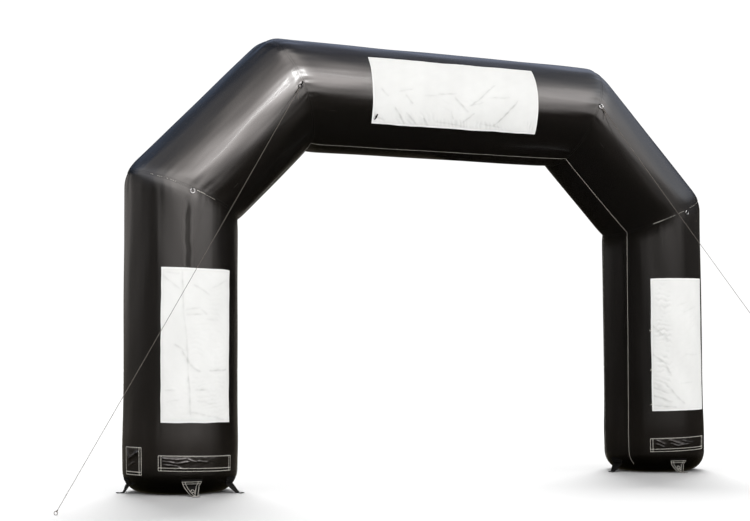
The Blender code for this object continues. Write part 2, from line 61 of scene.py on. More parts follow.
TUBE_RADIUS = 0.735
SHOULDER_RADIUS = 0.739
BEAM_RADIUS = 0.743
SEAM_RADIUS = 0.731  # where two tubes are sewn together
LEG_MITRE_HEIGHT = 3.838
CORNER_DROP = 0.028  # how far the outer corner of a mitre is rounded off
CORNER_REACH = 0.18
SEAM_REACH = 0.25  # a seam draws the tube in over this length
LEG_X = 3.765
BEAM_X = 2.313
BEAM_Z = 5.29
MITRE_SLOPE = math.tan(math.radians(22.5))
CONTACT_RADIUS = 0.478  # the flat sole of a foot
FOOT_RISE = 0.285
MITRE_EASE = 0.13  # the shading of two tubes blends over this length each side of their mitre, in front
TIGHTER_EASE = 0.75  # and over this share less on the outer side
TIGHT_SHARE, TIGHT_REACH = 0.8, 0.22  # the outer corner of a mitre is drawn tight, and shades without folds
FOLLOW_REACH = 0.6  # radians beside a panel seam over which the mesh follows it
GAP = 0.0003
CLOTH = 0.002
BANNER_CLOTH = 0.0014
WEBBING = 0.0025
TAPE = 0.002
SEWN_LIFT = 0.0006

# Sheets: on a leg the centre is an arc from the front and the bottom a height above the floor; on the
# beam the centre is an X and the bottom an arc up from the front. The slope is the rise per metre across
Sheet = namedtuple("Sheet", "centre width bottom height slope")
LEG_BANNER = Sheet(0.0, 0.976, 0.905, 1.952, 0.0)
BEAM_BANNER = Sheet(0.03, 2.61, -0.435, 0.995, 0.0)
LEFT_ZIP_FLAP = Sheet(-0.006, 1.035, 0.295, 0.205, -0.026)
RIGHT_ZIP_FLAP = Sheet(-0.038, 0.975, 0.314, 0.208, 0.027)
POCKET = Sheet(-0.925, 0.34, 0.245, 0.362, 0.0)

# Anchor tabs: name, side, azimuths of root and tip in degrees from the front towards +X, and reach
TABS = (
    ("left_front", -1, -7, -6, 0.93),
    ("left_outer", -1, -93, -96, 0.83),
    ("left_inner", -1, 46, 41, 0.92),
    ("left_back", -1, 173, 174, 0.93),
    ("right_front", 1, -7, -2, 0.80),
    ("right_inner", 1, -88, -80, 0.93),
    ("right_outer", 1, 111, 111, 0.8686),
    ("right_back", 1, 173, 178, 0.80),
)
TAB_ROOT_WIDTH = 0.29
TAB_TIP_WIDTH = 0.085
TAB_BAND = 0.048  # width of the tape along each edge
TAB_TOP = 0.205
TAB_LEAVES = 0.115  # height where the tab leaves the skin
TAB_LIFT = 0.0018
TAB_REST = 0.004
TAB_FLAT = 0.085  # how much of the tip lies flat on the floor
TAB_TAPER = 0.8
TAB_UNBENDS = 0.12  # by this share of its way the tab no longer bends round the leg
TAB_THREAD = 0.008
EYELET_FROM_TIP = 0.045
EYELET_HOLE = 0.016
EYELET_WALL = 0.003
EYELET_FLANGE = 0.010
EYELET_METAL = 0.0012

# Guy rings at the front of the mitres: name, side, whether upper, degrees from the front and length of the
# strap; a right one is the mirror image of a left one
GUYS = (
    ("left_lower", -1, False, 7.5, 0.010),
    ("right_lower", 1, False, 10.5, 0.010),
    ("left_upper", -1, True, 5.0, 0.055),
    ("right_upper", 1, True, 7.0, 0.016),
)
FACET = math.radians(9)  # the solid tubes have forty sides
RING_RADIUS = 0.028
WIRE_RADIUS = 0.005
STRAP_WIDTH = 0.024
STRAP_TURN = WIRE_RADIUS + 0.0015 + WEBBING / 2
STRAP_GATHER = 0.42  # the strap bunches to this much less than its width in the ring
SLACK = 0.0005
ROPE_RADIUS = 0.004
ROPE_TAUT_RADIUS = 0.0032  # the rope draws thinner where it's taut
ROPE_END = Vector((-5.937, -2.159, 0.0))
ROPE_SAG = 0.015
ROPE_POINTS = 34
EYE_LENGTH = 0.07
EYE_RADIUS = 0.011
FLOOR_EYE_RADIUS = 0.02
KNOT_LENGTH, KNOT_RADIUS, KNOT_TURNS = 0.03, 0.0052, 3.0
TAIL_LENGTH = 0.12
TAIL_RADIUS = 0.0032
TAIL_CLEARANCE = 0.013

# The sheets' relief: how wavy a banner's edges are and how far in that reaches, the rise of its hem and the
# width of the hem's edge, its slow waves and crumples, and the metres over which it comes loose from its edges
EDGE_WAVE, EDGE_REACH = 0.004, 0.05
HEM_RISE, HEM_EDGE = 0.0012, 0.0015
SLOW_WAVES, CRUMPLES = 0.0015, 0.0020
LOOSE_REACH = 0.05
CREASE_BASE = 0.6  # in crease depths
CREASE_WANDER = 0.008
CREASE_SHADE_LINE = 0.0085  # width of the painted shade line along a crease
# How much greyer a banner is painted: painted shade in its creases and in the hollows between ripples, then its
# hem's stitching and patches of dirt
CREASE_SHADE, MOST_CREASE_SHADE = 0.34, 0.6
HOLLOW_SHADE, MOST_HOLLOW_SHADE = 45.0, 0.3  # the first is for each metre of depth
HEM_GREY, HEM_ROW_OFFSET, HEM_ROW_REACH = 0.35, 0.003, 0.005
CLOUDY_GREY = 0.05
OUTLINE_STEP = 0.01

FRONT = np.array([0.0, -1.0, 0.0])
UP = Vector((0.0, 0.0, 1.0))
DOWN = -UP


# -------- colours and properties


def linear(code):
    """An sRGB hex colour as three linear values."""
    channels = [int(code[i : i + 2], 16) / 255 for i in (0, 2, 4)]
    return tuple(c / 12.92 if c <= 0.04045 else ((c + 0.055) / 1.055) ** 2.4 for c in channels)


def colour(name, code, description):
    """A colour that a user can change, with its sRGB default."""
    return FloatVectorProperty(
        name=name, description=description, subtype="COLOR", size=3, min=0, max=1, default=linear(code)
    )


def length(name, default, description):
    """A length that a user can change, in metres."""
    return FloatProperty(
        name=name, description=description, default=default, min=0.0, subtype="DISTANCE", unit="LENGTH"
    )


class ArchSizes(bpy.types.PropertyGroup):
    """Sizes of the arch's cloth and sewing."""

    pucker: length("Pucker depth", 0.0034, "How deep the cloth puckers beside a mitre")
    sway: length("Slow waves", 0.0034, "How uneven a tube's skin is between its seams")
    streak: length("Long ripples", 0.0007, "How deep the narrow ripples along a tube are")
    bulge: length("Leg bulge", 0.008, "How far a leg swells above its foot")
    hem: length("Hem width", 0.022, "Width of the hem round a banner")
    crease: length("Crease depth", 0.0075, "Depth of a banner's creases")
    seam_thread: length("Panel seam width", 0.0075, "Width of the pale overlock along the inner panel")
    flap_thread: length("Flap thread width", 0.009, "Width of the stitching on flaps and pocket")
    mitre_thread: length("Mitre thread width", 0.0035, "Width of the stitching beside a mitre")
    weave: length("Weave pitch", 0.011, "Pitch at which the coated cloth's weave is drawn")


class ArchColours(bpy.types.PropertyGroup):
    """Colours of the arch."""

    coated: colour("Coated cloth", "0E0C0A", "Black coated cloth of the air tubes")
    dusty: colour("Dusty cloth", "1D1813", "The same cloth where it has picked up dust")
    banner: colour("Banner", "F0F0EE", "White polyester of the banners")
    webbing: colour("Webbing", "070707", "Black webbing of tabs and straps")
    thread: colour("Thread", "E4E0D6", "Pale sewing thread")
    dark_thread: colour("Dark thread", "1C1B19", "Black thread of the mitres, and painted shade on the side tabs' pale thread")
    steel: colour("Steel", "C9CACC", "Nickel-plated steel")
    # painted shade: a dark copy of the rings' nickel-plated steel, for the left upper ring
    shaded_steel: colour("Shaded steel", "2A2A2B", "The rings' nickel-plated steel in painted shade")
    rope: colour("Rope", "6E6963", "Braided guy rope")
    # painted shade: this grey darkens the banners' creases, hollows and lower parts; a little of it is the cloth's
    # tone
    banner_grey_and_shade: colour("Banner grey and shade", "A9A9A6", "Grey mixed into the banners: their tone, and painted shade in creases, hollows and lower parts")
    worn_webbing: colour("Worn webbing", "141312", "Webbing where it is worn")
    rope_hollow_shade: colour("Rope hollow shade", "463C36", "Painted shade on the rope between its strands")
    floor: colour("Floor", "FAFAFA", "The studio floor")


# -------- meshes


def share_of(value):
    """The value kept between 0 and 1."""
    return np.clip(value, 0.0, 1.0)


def run_along(path):
    """How far each point of a path lies along it."""
    return np.concatenate([[0.0], np.cumsum(np.linalg.norm(np.diff(path, axis=0), axis=1))])


class Pattern:
    """Gathers the faces of one piece, with a map of its cloth in metres."""

    def __init__(self):
        self.points, self.faces, self.chart = [], [], []

    def grid(self, points, chart, closed=False):
        """Faces between the rows of a (rows, columns, 3) array; closed joins the last column to the first.

        The chart is (rows, columns, 2), with one more column where the grid is closed.
        """
        rows, columns = points.shape[:2]
        first = sum(len(block) for block in self.points)
        self.points.append(points.reshape(-1, 3))
        across = np.arange(columns if closed else columns - 1)
        after = (across + 1) % columns
        for row in range(rows - 1):
            low, high = first + row * columns, first + (row + 1) * columns
            self.faces.extend(zip(low + across, low + after, high + after, high + across))
            corners = (
                chart[row, across],
                chart[row, across + 1],
                chart[row + 1, across + 1],
                chart[row + 1, across],
            )
            self.chart.append(np.stack(corners, axis=1).reshape(-1, 2))

    def sweep(self, path, radius, sides=12, closed=False):
        """A round cord or wire of one radius, or one for each point, along a path; its ends are closed."""
        path = np.asarray(path, float)
        count = len(path)
        radii = np.broadcast_to(radius, count)
        if closed:
            ahead = np.roll(path, -1, axis=0) - np.roll(path, 1, axis=0)
        else:
            ahead = np.gradient(path, axis=0)
        ahead /= np.linalg.norm(ahead, axis=1)[:, None]
        side, sides_at = np.cross(ahead[0], (0.3, 0.5, 0.8)), []
        for heading in ahead:
            side = side - heading * side.dot(heading)
            side /= np.linalg.norm(side)
            sides_at.append(side)
        twist = 0.0
        if closed:  # spread the turn that is left over the whole loop
            last = sides_at[-1] - ahead[0] * sides_at[-1].dot(ahead[0])
            twist = math.atan2(np.cross(sides_at[0], last).dot(ahead[0]), sides_at[0].dot(last))
        turn = np.arange(sides) * math.tau / sides
        rows = []
        for i, (heading, side) in enumerate(zip(ahead, sides_at)):
            angles = (turn - twist * i / count)[:, None]
            rise = np.cross(heading, side)
            rows.append(path[i] + (side * np.cos(angles) + rise * np.sin(angles)) * radii[i])
        run = run_along(path)
        if closed:
            rows.append(rows[0])
            run = np.append(run, run[-1] + np.linalg.norm(path[0] - path[-1]))
        else:
            rows = [np.tile(path[0], (sides, 1)), *rows, np.tile(path[-1], (sides, 1))]
            run = np.concatenate([[run[0]], run, [run[-1]]])
        around = np.arange(sides + 1) / sides * math.tau * float(np.mean(radii))
        self.grid(np.array(rows), chart_of(around[None, :], run[:, None]), closed=True)

    def made(self, name, material, weld=1e-6, facing=None):
        """The object, smooth shaded. A sheet that is open is turned to face a direction."""
        mesh = bpy.data.meshes.new(name)
        mesh.from_pydata(np.concatenate(self.points).tolist(), [], [tuple(map(int, f)) for f in self.faces])
        chart = mesh.uv_layers.new(name="cloth")
        chart.data.foreach_set("uv", np.concatenate(self.chart).astype(np.float32).ravel())
        bm = bmesh.new()
        bm.from_mesh(mesh)
        bmesh.ops.remove_doubles(bm, verts=bm.verts, dist=weld)
        bmesh.ops.dissolve_degenerate(bm, edges=bm.edges, dist=weld)
        if facing is None:
            bmesh.ops.recalc_face_normals(bm, faces=bm.faces)
        else:
            bm.normal_update()
            if sum(face.normal.dot(Vector(facing)) for face in bm.faces) < 0:
                bmesh.ops.reverse_faces(bm, faces=bm.faces)
        bm.to_mesh(mesh)
        bm.free()
        mesh.shade_smooth()
        mesh.materials.append(material)
        return put(name, mesh)


def put(name, data):
    """A new object in the scene."""
    obj = bpy.data.objects.new(name, data)
    bpy.context.scene.collection.objects.link(obj)
    return obj


def fit_on(obj, slot, *nodes):
    """The piece rides on the arch and stands for these nodes, whose solids are hidden. The slot is not used."""
    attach(obj, BODY)
    if nodes:
        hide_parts(*nodes)
    return obj


def thicken(obj, thickness, offset):
    """Gives a sheet its thickness: offset 1 keeps its inner side, 0 its middle."""
    solid = obj.modifiers.new("thickness", "SOLIDIFY")
    solid.thickness = thickness
    solid.offset = offset
    solid.use_even_offset = False
    return obj


def spaced(first, last, step):
    """Even stations from first to last, at most a step apart."""
    return np.linspace(first, last, max(2, math.ceil(abs(last - first) / step) + 1))


def chart_of(across, up):
    """A cloth map from two arrays of metres that broadcast to a grid."""
    return np.stack(np.broadcast_arrays(across, up), axis=-1)


# -------- the shape of the air tubes

FOOT_RINGS = 26
SEAM_OFFSETS = (-0.05, -0.03, -0.018, -0.0155, -0.0125, 0.0, 0.0125, 0.0155, 0.018, 0.03, 0.05)
EVEN_COLUMNS, COLUMN_ROOM = 240, 0.010  # radians left clear beside a fitted column
FINE_RING, COARSE_RING, FINE_REACH = 0.008, 0.04, 0.35  # metres between rings, and how far the fine ones go
GROOVE_DEPTH, GROOVE_WIDTH, GROOVE_REACH = 0.004, 0.014, 0.1  # the groove of a mitre's stitching
SETTLE = 0.08  # the skin is even this close to a mitre
FOOT_SETTLE = 0.3  # and up to this height
BULGE_HEIGHT, BULGE_REACH = 0.62, 0.28
LAP_DEPTH, LAP_HALF, LAP_EDGE = 0.0014, 0.014, 0.0016  # the lap of cloth under a panel seam
DIP_DEPTH, DIP_REACH = 0.005, 0.05  # the panel seam draws the skin in
SEAM_TURN, SEAM_TURN_HEIGHT = 7.5, 0.17  # degrees that a panel seam turns forward at the foot
FOLD_WANDER = ((0.006, 9.0), (0.004, 23.0))
FOLD_START, FOLD_END = 0.12, 0.25  # metres over which a long fold comes up and dies away


def uneven(seed, shortest, longest, across, up, count=7):
    """A smooth uneven field, about -1 to 1, from sine waves of random heading over a cloth."""
    rng = np.random.default_rng(seed)
    total = 0.0
    for wavelength in np.geomspace(longest, shortest, count):
        heading, phase = rng.uniform(0.0, math.tau, 2)
        run = across * math.cos(heading) + up * math.sin(heading)
        total = total + np.sin(math.tau * run / wavelength + phase) * (wavelength / longest) ** 0.7
    return total / math.sqrt(count)


def uneven_round(seed, angle, along, waves=14):
    """A smooth uneven field, about -1 to 1, that closes round a tube."""
    rng = np.random.default_rng(seed)
    total = 0.0
    for _ in range(waves):
        turns = int(rng.integers(2, 17))
        phase, other = rng.uniform(0.0, math.tau, 2)
        wavelength = rng.uniform(1.1, 3.6)
        total = total + np.sin(turns * angle + phase) * np.sin(math.tau * along / wavelength + other)
    return total / math.sqrt(waves)


def puckers(seed, angle, distance):
    """How the cloth puckers beside a mitre, about -1 to 1: folds that cross the seam and die away."""
    rng = np.random.default_rng(seed)
    total = 0.0
    corner = 1 + 1.6 * np.maximum(0.0, np.sin(angle)) ** 4
    for wavelength in (0.19, 0.145, 0.11, 0.085, 0.06):
        turns = round(math.tau * SEAM_RADIUS / wavelength)
        phase, other = rng.uniform(0.0, math.tau, 2)
        gather = (0.55 + 0.45 * np.sin(int(rng.integers(2, 6)) * angle + other)) * corner
        fade = distance / (0.55 * wavelength)
        total = total + np.sin(turns * angle + phase) * gather * fade * np.exp(1 - fade) * wavelength / 0.2
    return total / 2


def streaks(seed, angle, along):
    """The long narrow ripples of cloth that air pressure pulls along a tube, about -1 to 1."""
    rng = np.random.default_rng(seed + 100)
    total = 0.0
    for turns in (23, 31, 38, 47, 59, 71):
        phase, other = rng.uniform(0.0, math.tau, 2)
        drift = 0.5 * np.sin(math.tau * along / rng.uniform(1.6, 3.2) + other)
        gather = 0.5 + 0.5 * np.sin(int(rng.integers(2, 6)) * angle + math.tau * along / 2.7 + phase)
        total = total + np.sin(turns * angle + phase + drift) * gather * (30 / turns)
    return total / 2.4


def wrapped(angle):
    """The angle brought to within half a turn of zero."""
    return (angle + math.pi) % math.tau - math.pi


def bell(distance, reach):
    """1 at no distance, fading to nothing over about twice the reach."""
    return np.exp(-((distance / reach) ** 2))


def outer_side(angle):
    """1 on a tube's outer side, fading to 0 at the front, the back and all the inner side."""
    return np.maximum(0.0, np.sin(angle)) ** 2


class Tube:
    """A straight air tube between two mitres, or from a mitre down to its foot.

    Angles are in radians, from the front towards the arch's outer side.
    """

    def __init__(self, start, end, radius, mitres, seed, panel, folds=()):
        self.start = np.array([start[0], 0.0, start[1]])
        span = np.array([end[0], 0.0, end[1]]) - self.start
        self.length = float(np.linalg.norm(span))
        self.along = span / self.length
        self.outward = np.array([-self.along[2], 0.0, self.along[0]])
        self.full_radius = radius
        self.mitres = mitres  # the seeds of the mitres at its start and end, and None at the foot
        self.is_leg = None in mitres
        self.seed = seed
        self.panel = panel  # degrees of the inner panel's front seam at start and end
        self.folds = folds  # long folds: degrees, start, end, width and depth in metres

    def cut(self, angle, at_end):
        """How far along the tube the mitre, or the floor, cuts it."""
        if self.mitres[at_end] is None:
            return angle * 0.0 + (self.length if at_end else 0.0)
        reach = (SEAM_RADIUS - CORNER_DROP * outer_side(angle)) * np.sin(angle) * MITRE_SLOPE
        return self.length + reach if at_end else -reach

    def from_mitres(self, angle, along):
        """Each mitre as whether it is at the end, its seed, and how far along the tube it lies from here."""
        for at_end, seed in enumerate(self.mitres):
            if seed is not None:
                yield bool(at_end), seed, np.abs(self.cut(angle, at_end) - along)

    def height(self, along):
        """Height above the floor, for a leg; it is also the way from a height to a distance along it."""
        return along if self.mitres[0] is None else self.length - along

    def panel_seams(self, along):
        """The angles of the inner panel's seams: the front one, and the rear one, its mirror image."""
        share = share_of(along / self.length)
        degrees = self.panel[0] + (self.panel[1] - self.panel[0]) * share
        if self.is_leg:  # it turns towards the front where the foot rounds under
            degrees = degrees - SEAM_TURN * bell(self.height(along), SEAM_TURN_HEIGHT)
        front = -np.radians(degrees)
        return front, -math.pi - front

    def radius_at(self, angle, along):
        """The skin's distance from the axis."""
        sizes = bpy.context.scene.arch_sizes
        angle, along = np.broadcast_arrays(angle, along)
        radius = np.full(angle.shape, self.full_radius)
        settled = np.ones(angle.shape)
        for _, seed, distance in self.from_mitres(angle, along):
            drawn_in = self.full_radius - SEAM_RADIUS
            radius = radius - drawn_in * share_of(1 - distance / SEAM_REACH) ** 2
            corner = CORNER_DROP * outer_side(angle)
            radius = radius - corner * share_of(1 - distance / CORNER_REACH) ** 2
            radius = radius + sizes.pucker * puckers(seed, angle, distance)
            risen = share_of(distance / GROOVE_REACH) - bell(distance, GROOVE_WIDTH)
            radius = radius + GROOVE_DEPTH * risen
            settled = settled * (1 - bell(distance, SETTLE))
        if self.is_leg:
            height = self.height(along)
            share = share_of(1 - height / FOOT_RISE)
            rounded = CONTACT_RADIUS + (TUBE_RADIUS - CONTACT_RADIUS) * np.sqrt(1 - share**2)
            radius = radius + rounded - TUBE_RADIUS
            radius = radius + sizes.bulge * bell(height - BULGE_HEIGHT, BULGE_REACH)
            settled = settled * share_of(height / FOOT_SETTLE)
        radius = radius + settled * sizes.sway * uneven_round(self.seed, angle, along)
        radius = radius + settled * sizes.streak * streaks(self.seed, angle, along)
        radius = radius - self.folded(angle, along)[1]
        for seam in self.panel_seams(along):
            apart = np.abs(wrapped(angle - seam)) * self.full_radius
            lap = 1 / (1 + np.exp(np.clip((apart - LAP_HALF) / LAP_EDGE, -60, 60)))
            radius = radius + settled * (LAP_DEPTH * lap - DIP_DEPTH * bell(apart, DIP_REACH))
        return radius

    def folded(self, angle, along):
        """The long folds: their share, from 0 to 1, and their depth."""
        shares, depths = angle * 0.0, angle * 0.0
        for degrees, first, last, width, depth in self.folds:
            apart = wrapped(angle - math.radians(degrees)) * self.full_radius
            apart = apart + sum(sway * np.sin(along * rate) for sway, rate in FOLD_WANDER)
            risen = share_of((along - first) / FOLD_START)
            share = risen * share_of((last - along) / FOLD_END) * bell(apart, width)
            shares, depths = shares + share, depths + depth * share
        return shares, depths

    def radial(self, angle):
        """The directions straight out from the axis."""
        return FRONT * np.cos(angle)[..., None] + self.outward * np.sin(angle)[..., None]

    def point(self, angle, along, radius):
        """Points at these angles, distances along the axis and radii."""
        angle, along, radius = np.broadcast_arrays(angle, along, radius)
        return self.start + self.along * along[..., None] + self.radial(angle) * radius[..., None]

    def skin(self, angle, along, lift=0.0):
        """Points raised by a lift over the finished skin."""
        return self.point(angle, along, self.radius_at(angle, along) + lift)

    def soft_normals(self, angle, along):
        """Outward directions of the skin, eased across each mitre as air pressure rounds the cloth there."""
        step = 0.004
        around = self.skin(angle + step, along) - self.skin(angle - step, along)
        ahead = self.skin(angle, along + step) - self.skin(angle, along - step)
        normals = np.cross(around, ahead)
        radial = self.radial(angle)
        normals *= np.sign(np.sum(normals * radial, axis=-1))[..., None]
        normals /= np.linalg.norm(normals, axis=-1)[..., None]
        for at_end, _, distance in self.from_mitres(angle, along):
            plane = self.along - self.outward * (MITRE_SLOPE if at_end else -MITRE_SLOPE)
            plane = plane / np.linalg.norm(plane)
            tight = TIGHT_SHARE * outer_side(angle) * share_of(1 - distance / TIGHT_REACH) ** 0.5
            normals = normals + (radial - normals) * tight[..., None]
            share = bell(distance, MITRE_EASE * (1 - TIGHTER_EASE * outer_side(angle)))
            normals = normals - plane * ((normals @ plane) * share)[..., None]
            normals /= np.linalg.norm(normals, axis=-1)[..., None]
        return normals

    def middle_seams(self):
        """The angles of the panel seams halfway along."""
        return [float(seam) for seam in self.panel_seams(np.array(self.length / 2))]

    def follow_seams(self, angle, along):
        """Shifts a mesh column's angle so that the columns beside a panel seam keep beside it."""
        middle = self.middle_seams()
        shift = self.panel_seams(along)[0] - middle[0]
        for seam, sign in zip(middle, (1, -1)):
            angle = angle + sign * shift * share_of(1 - np.abs(wrapped(angle - seam)) / FOLLOW_REACH)
        return angle

    def columns(self):
        """Angles of the mesh's columns, closer together beside the panel seams and the long folds."""
        even = np.linspace(-math.pi, math.pi, EVEN_COLUMNS + 1)[:-1]
        near = [seam + offset / self.full_radius for offset in SEAM_OFFSETS for seam in self.middle_seams()]
        for degrees, _, _, width, _ in self.folds:
            near.extend(math.radians(degrees) + np.linspace(-3, 3, 13) * width / self.full_radius)
        near = wrapped(np.array(near))
        clear = [a for a in even if np.min(np.abs(near - a)) > COLUMN_ROOM]
        return np.sort(np.concatenate([clear, near]))

    def stations(self):
        """Shares of the way from the first cut to the last, closer together at the mitres."""
        spots, at = [0.0], 0.0
        while at < self.length:
            to_mitres = [abs(at - end) for end, seed in zip((0.0, self.length), self.mitres) if seed is not None]
            at += FINE_RING + (COARSE_RING - FINE_RING) * min(1.0, min(to_mitres) / FINE_REACH)
            spots.append(at)
        shares = np.array(spots) / spots[-1]
        if self.is_leg:  # rings down the rounded side of the foot
            turns = np.radians(np.linspace(0, 90, FOOT_RINGS))
            rounds = FOOT_RISE * (1 - np.sin(turns)) / self.length
            rounds = rounds if self.mitres[0] is None else 1 - rounds
            kept = shares[self.height(shares * self.length) > FOOT_RISE * 1.02]
            shares = np.sort(np.concatenate([kept, rounds]))
        return shares


# The tubes run from one foot over the arch to the other. Their corners are (X, Z), a mitre's seed is that of
# its puckers, and a panel seam's degrees are those at the corner. Each tube has its name, radius and seed
CORNERS = (
    (-LEG_X, 0), (-LEG_X, LEG_MITRE_HEIGHT), (-BEAM_X, BEAM_Z),
    (BEAM_X, BEAM_Z), (LEG_X, LEG_MITRE_HEIGHT), (LEG_X, 0),
)
MITRE_SEEDS = (None, 11, 23, 37, 41, None)
PANEL_DEGREES = (62.5, 64.5, 68, 66, 64.6, 66.4)
LONG_FOLDS = {"leg_left": [(11.8, 2.4, 3.78, 0.032, 0.007)]}
TUBE_SIZES = (
    ("leg_left", TUBE_RADIUS, 3), ("shoulder_left", SHOULDER_RADIUS, 5), ("beam", BEAM_RADIUS, 7),
    ("shoulder_right", SHOULDER_RADIUS, 9), ("leg_right", TUBE_RADIUS, 13),
)
TUBES = {}
for number, (name, radius, seed) in enumerate(TUBE_SIZES):
    ends = slice(number, number + 2)
    folds = LONG_FOLDS.get(name, ())
    TUBES[name] = Tube(*CORNERS[ends], radius, MITRE_SEEDS[ends], seed, PANEL_DEGREES[ends], folds)


# -------- sewing

STITCH_SIDES = 4
STITCH_RINGS = ((-0.5, 0.3), (-0.3, 1.0), (0.3, 1.0), (0.5, 0.3))  # along the stitch, and the share of its size


def stitch_line(pattern, spots, outward, thread, stitch, pitch, across=False):
    """Lays stitches along a line of points with its outward directions.

    A stitch is a short raised bead of thread, along the line or, for an overlock, across it.
    """
    run = run_along(spots)
    count = max(1, int(run[-1] / pitch))
    centres = (np.arange(count) + 0.5) * run[-1] / count

    def at(distance, values):
        return np.stack([np.interp(distance, run, values[:, k]) for k in range(3)], axis=-1)

    middle = at(centres, spots)
    up = at(centres, outward)
    up /= np.linalg.norm(up, axis=1)[:, None]
    ahead = at(centres + pitch / 20, spots) - at(centres - pitch / 20, spots)
    ahead /= np.linalg.norm(ahead, axis=1)[:, None]
    aside = np.cross(up, ahead)
    if across:
        ahead, aside = aside, ahead
    first = sum(len(block) for block in pattern.points)
    corners = [
        middle
        + ahead * (way * stitch)
        + aside * (math.cos(turn) * size * thread / 2)
        + up * (math.sin(turn) * size * thread / 4)
        for way, size in STITCH_RINGS
        for turn in np.arange(STITCH_SIDES) * math.tau / STITCH_SIDES
    ]
    pattern.points.append(np.stack(corners, axis=1).reshape(-1, 3))
    sides, last = STITCH_SIDES, STITCH_SIDES * (len(STITCH_RINGS) - 1)
    bead = [tuple(reversed(range(sides))), tuple(range(last, last + sides))]
    for low in range(0, last, sides):
        for k in range(sides):
            after = (k + 1) % sides
            bead.append((low + k, low + after, low + sides + after, low + sides + k))
    corner_count = sum(len(face) for face in bead)
    for one in range(count):
        base = first + one * len(corners)
        pattern.faces.extend(tuple(base + k for k in face) for face in bead)
        pattern.chart.append(np.zeros((corner_count, 2)) + [one * pitch, 0.0])


def sewn(pattern, name, kind, slot):
    """The piece that a pattern of stitches or cord makes."""
    return fit_on(pattern.made(name, finish(kind), weld=1e-7), slot)


# -------- materials

# A thread, a ply or a scratch is too fine to show at the size that the arch is seen, so each is drawn as
# coarse as it needs to show. The real size stands beside each
BANNER_WEAVE = 0.006  # metres; really threads 0.4 mm apart
WEBBING_RIB = 0.005  # metres; really ribs 1.5 mm apart
ROPE_STRAND = 0.006  # metres; really strands 2 mm apart
THREAD_PLIES = 160.0  # to the metre; really 0.4 mm apart
SCRATCHES = 220.0  # to the metre; really 0.2 mm apart
SOILED_THREAD = 0.75  # the share of its colour that soiled thread keeps


def feed(tree, node, links):
    """Links sockets to what feeds them: a node's first output, or the output that (node, output) names."""
    for socket, source in dict(links).items():
        source, output = source if isinstance(source, tuple) else (source, 0)
        tree.links.new(source.outputs[output], node.inputs[socket])


def add_node(tree, kind, values=(), links=(), **settings):
    """Adds a node with its settings, its sockets' values and what feeds them."""
    node = tree.nodes.new("ShaderNode" + kind)
    for name, value in settings.items():
        setattr(node, name, value)
    for socket, value in dict(values).items():
        node.inputs[socket].default_value = value
    feed(tree, node, links)
    return node


def new_material(name, base, roughness, **values):
    """A material with its shader's own sockets set; returns it, its tree and the shader."""
    material = bpy.data.materials.new(name)
    material.use_nodes = True
    tree = material.node_tree
    shader = tree.nodes["Principled BSDF"]
    for socket, value in {"Base_Color": (*base, 1.0), "Roughness": roughness, **values}.items():
        shader.inputs[socket.replace("_", " ")].default_value = value
    material.diffuse_color = (*base, 1.0)
    return material, tree, shader


def crossed_threads(tree, chart, pitch, operation="MULTIPLY"):
    """The height of threads or strands that run both ways, a pitch in metres apart."""
    scale = {"Scale": math.tau / (20 * pitch)}  # the texture draws twenty bands in a full turn
    bands = [(add_node(tree, "TexWave", scale, {"Vector": chart}, bands_direction=way), "Fac") for way in "XY"]
    return add_node(tree, "Math", links=dict(enumerate(bands)), operation=operation)


def dress(tree, shader, reliefs, tints=(), share=None):
    """Gives a shader its reliefs, coarse before fine, and its colour, a share of the way between two tints.

    A relief is what raises it, its strength and its height in metres.
    """
    links = {}
    for source, strength, height in reliefs:
        sizes = {"Strength": strength, "Distance": height}
        links = {"Normal": add_node(tree, "Bump", sizes, {"Height": source, **links})}
    if tints:
        ends = {socket: (*tint, 1.0) for socket, tint in zip("AB", tints)}
        links["Base Color"] = (add_node(tree, "Mix", ends, {"Factor": share}, data_type="RGBA"), 2)
    feed(tree, shader, links)
    return links


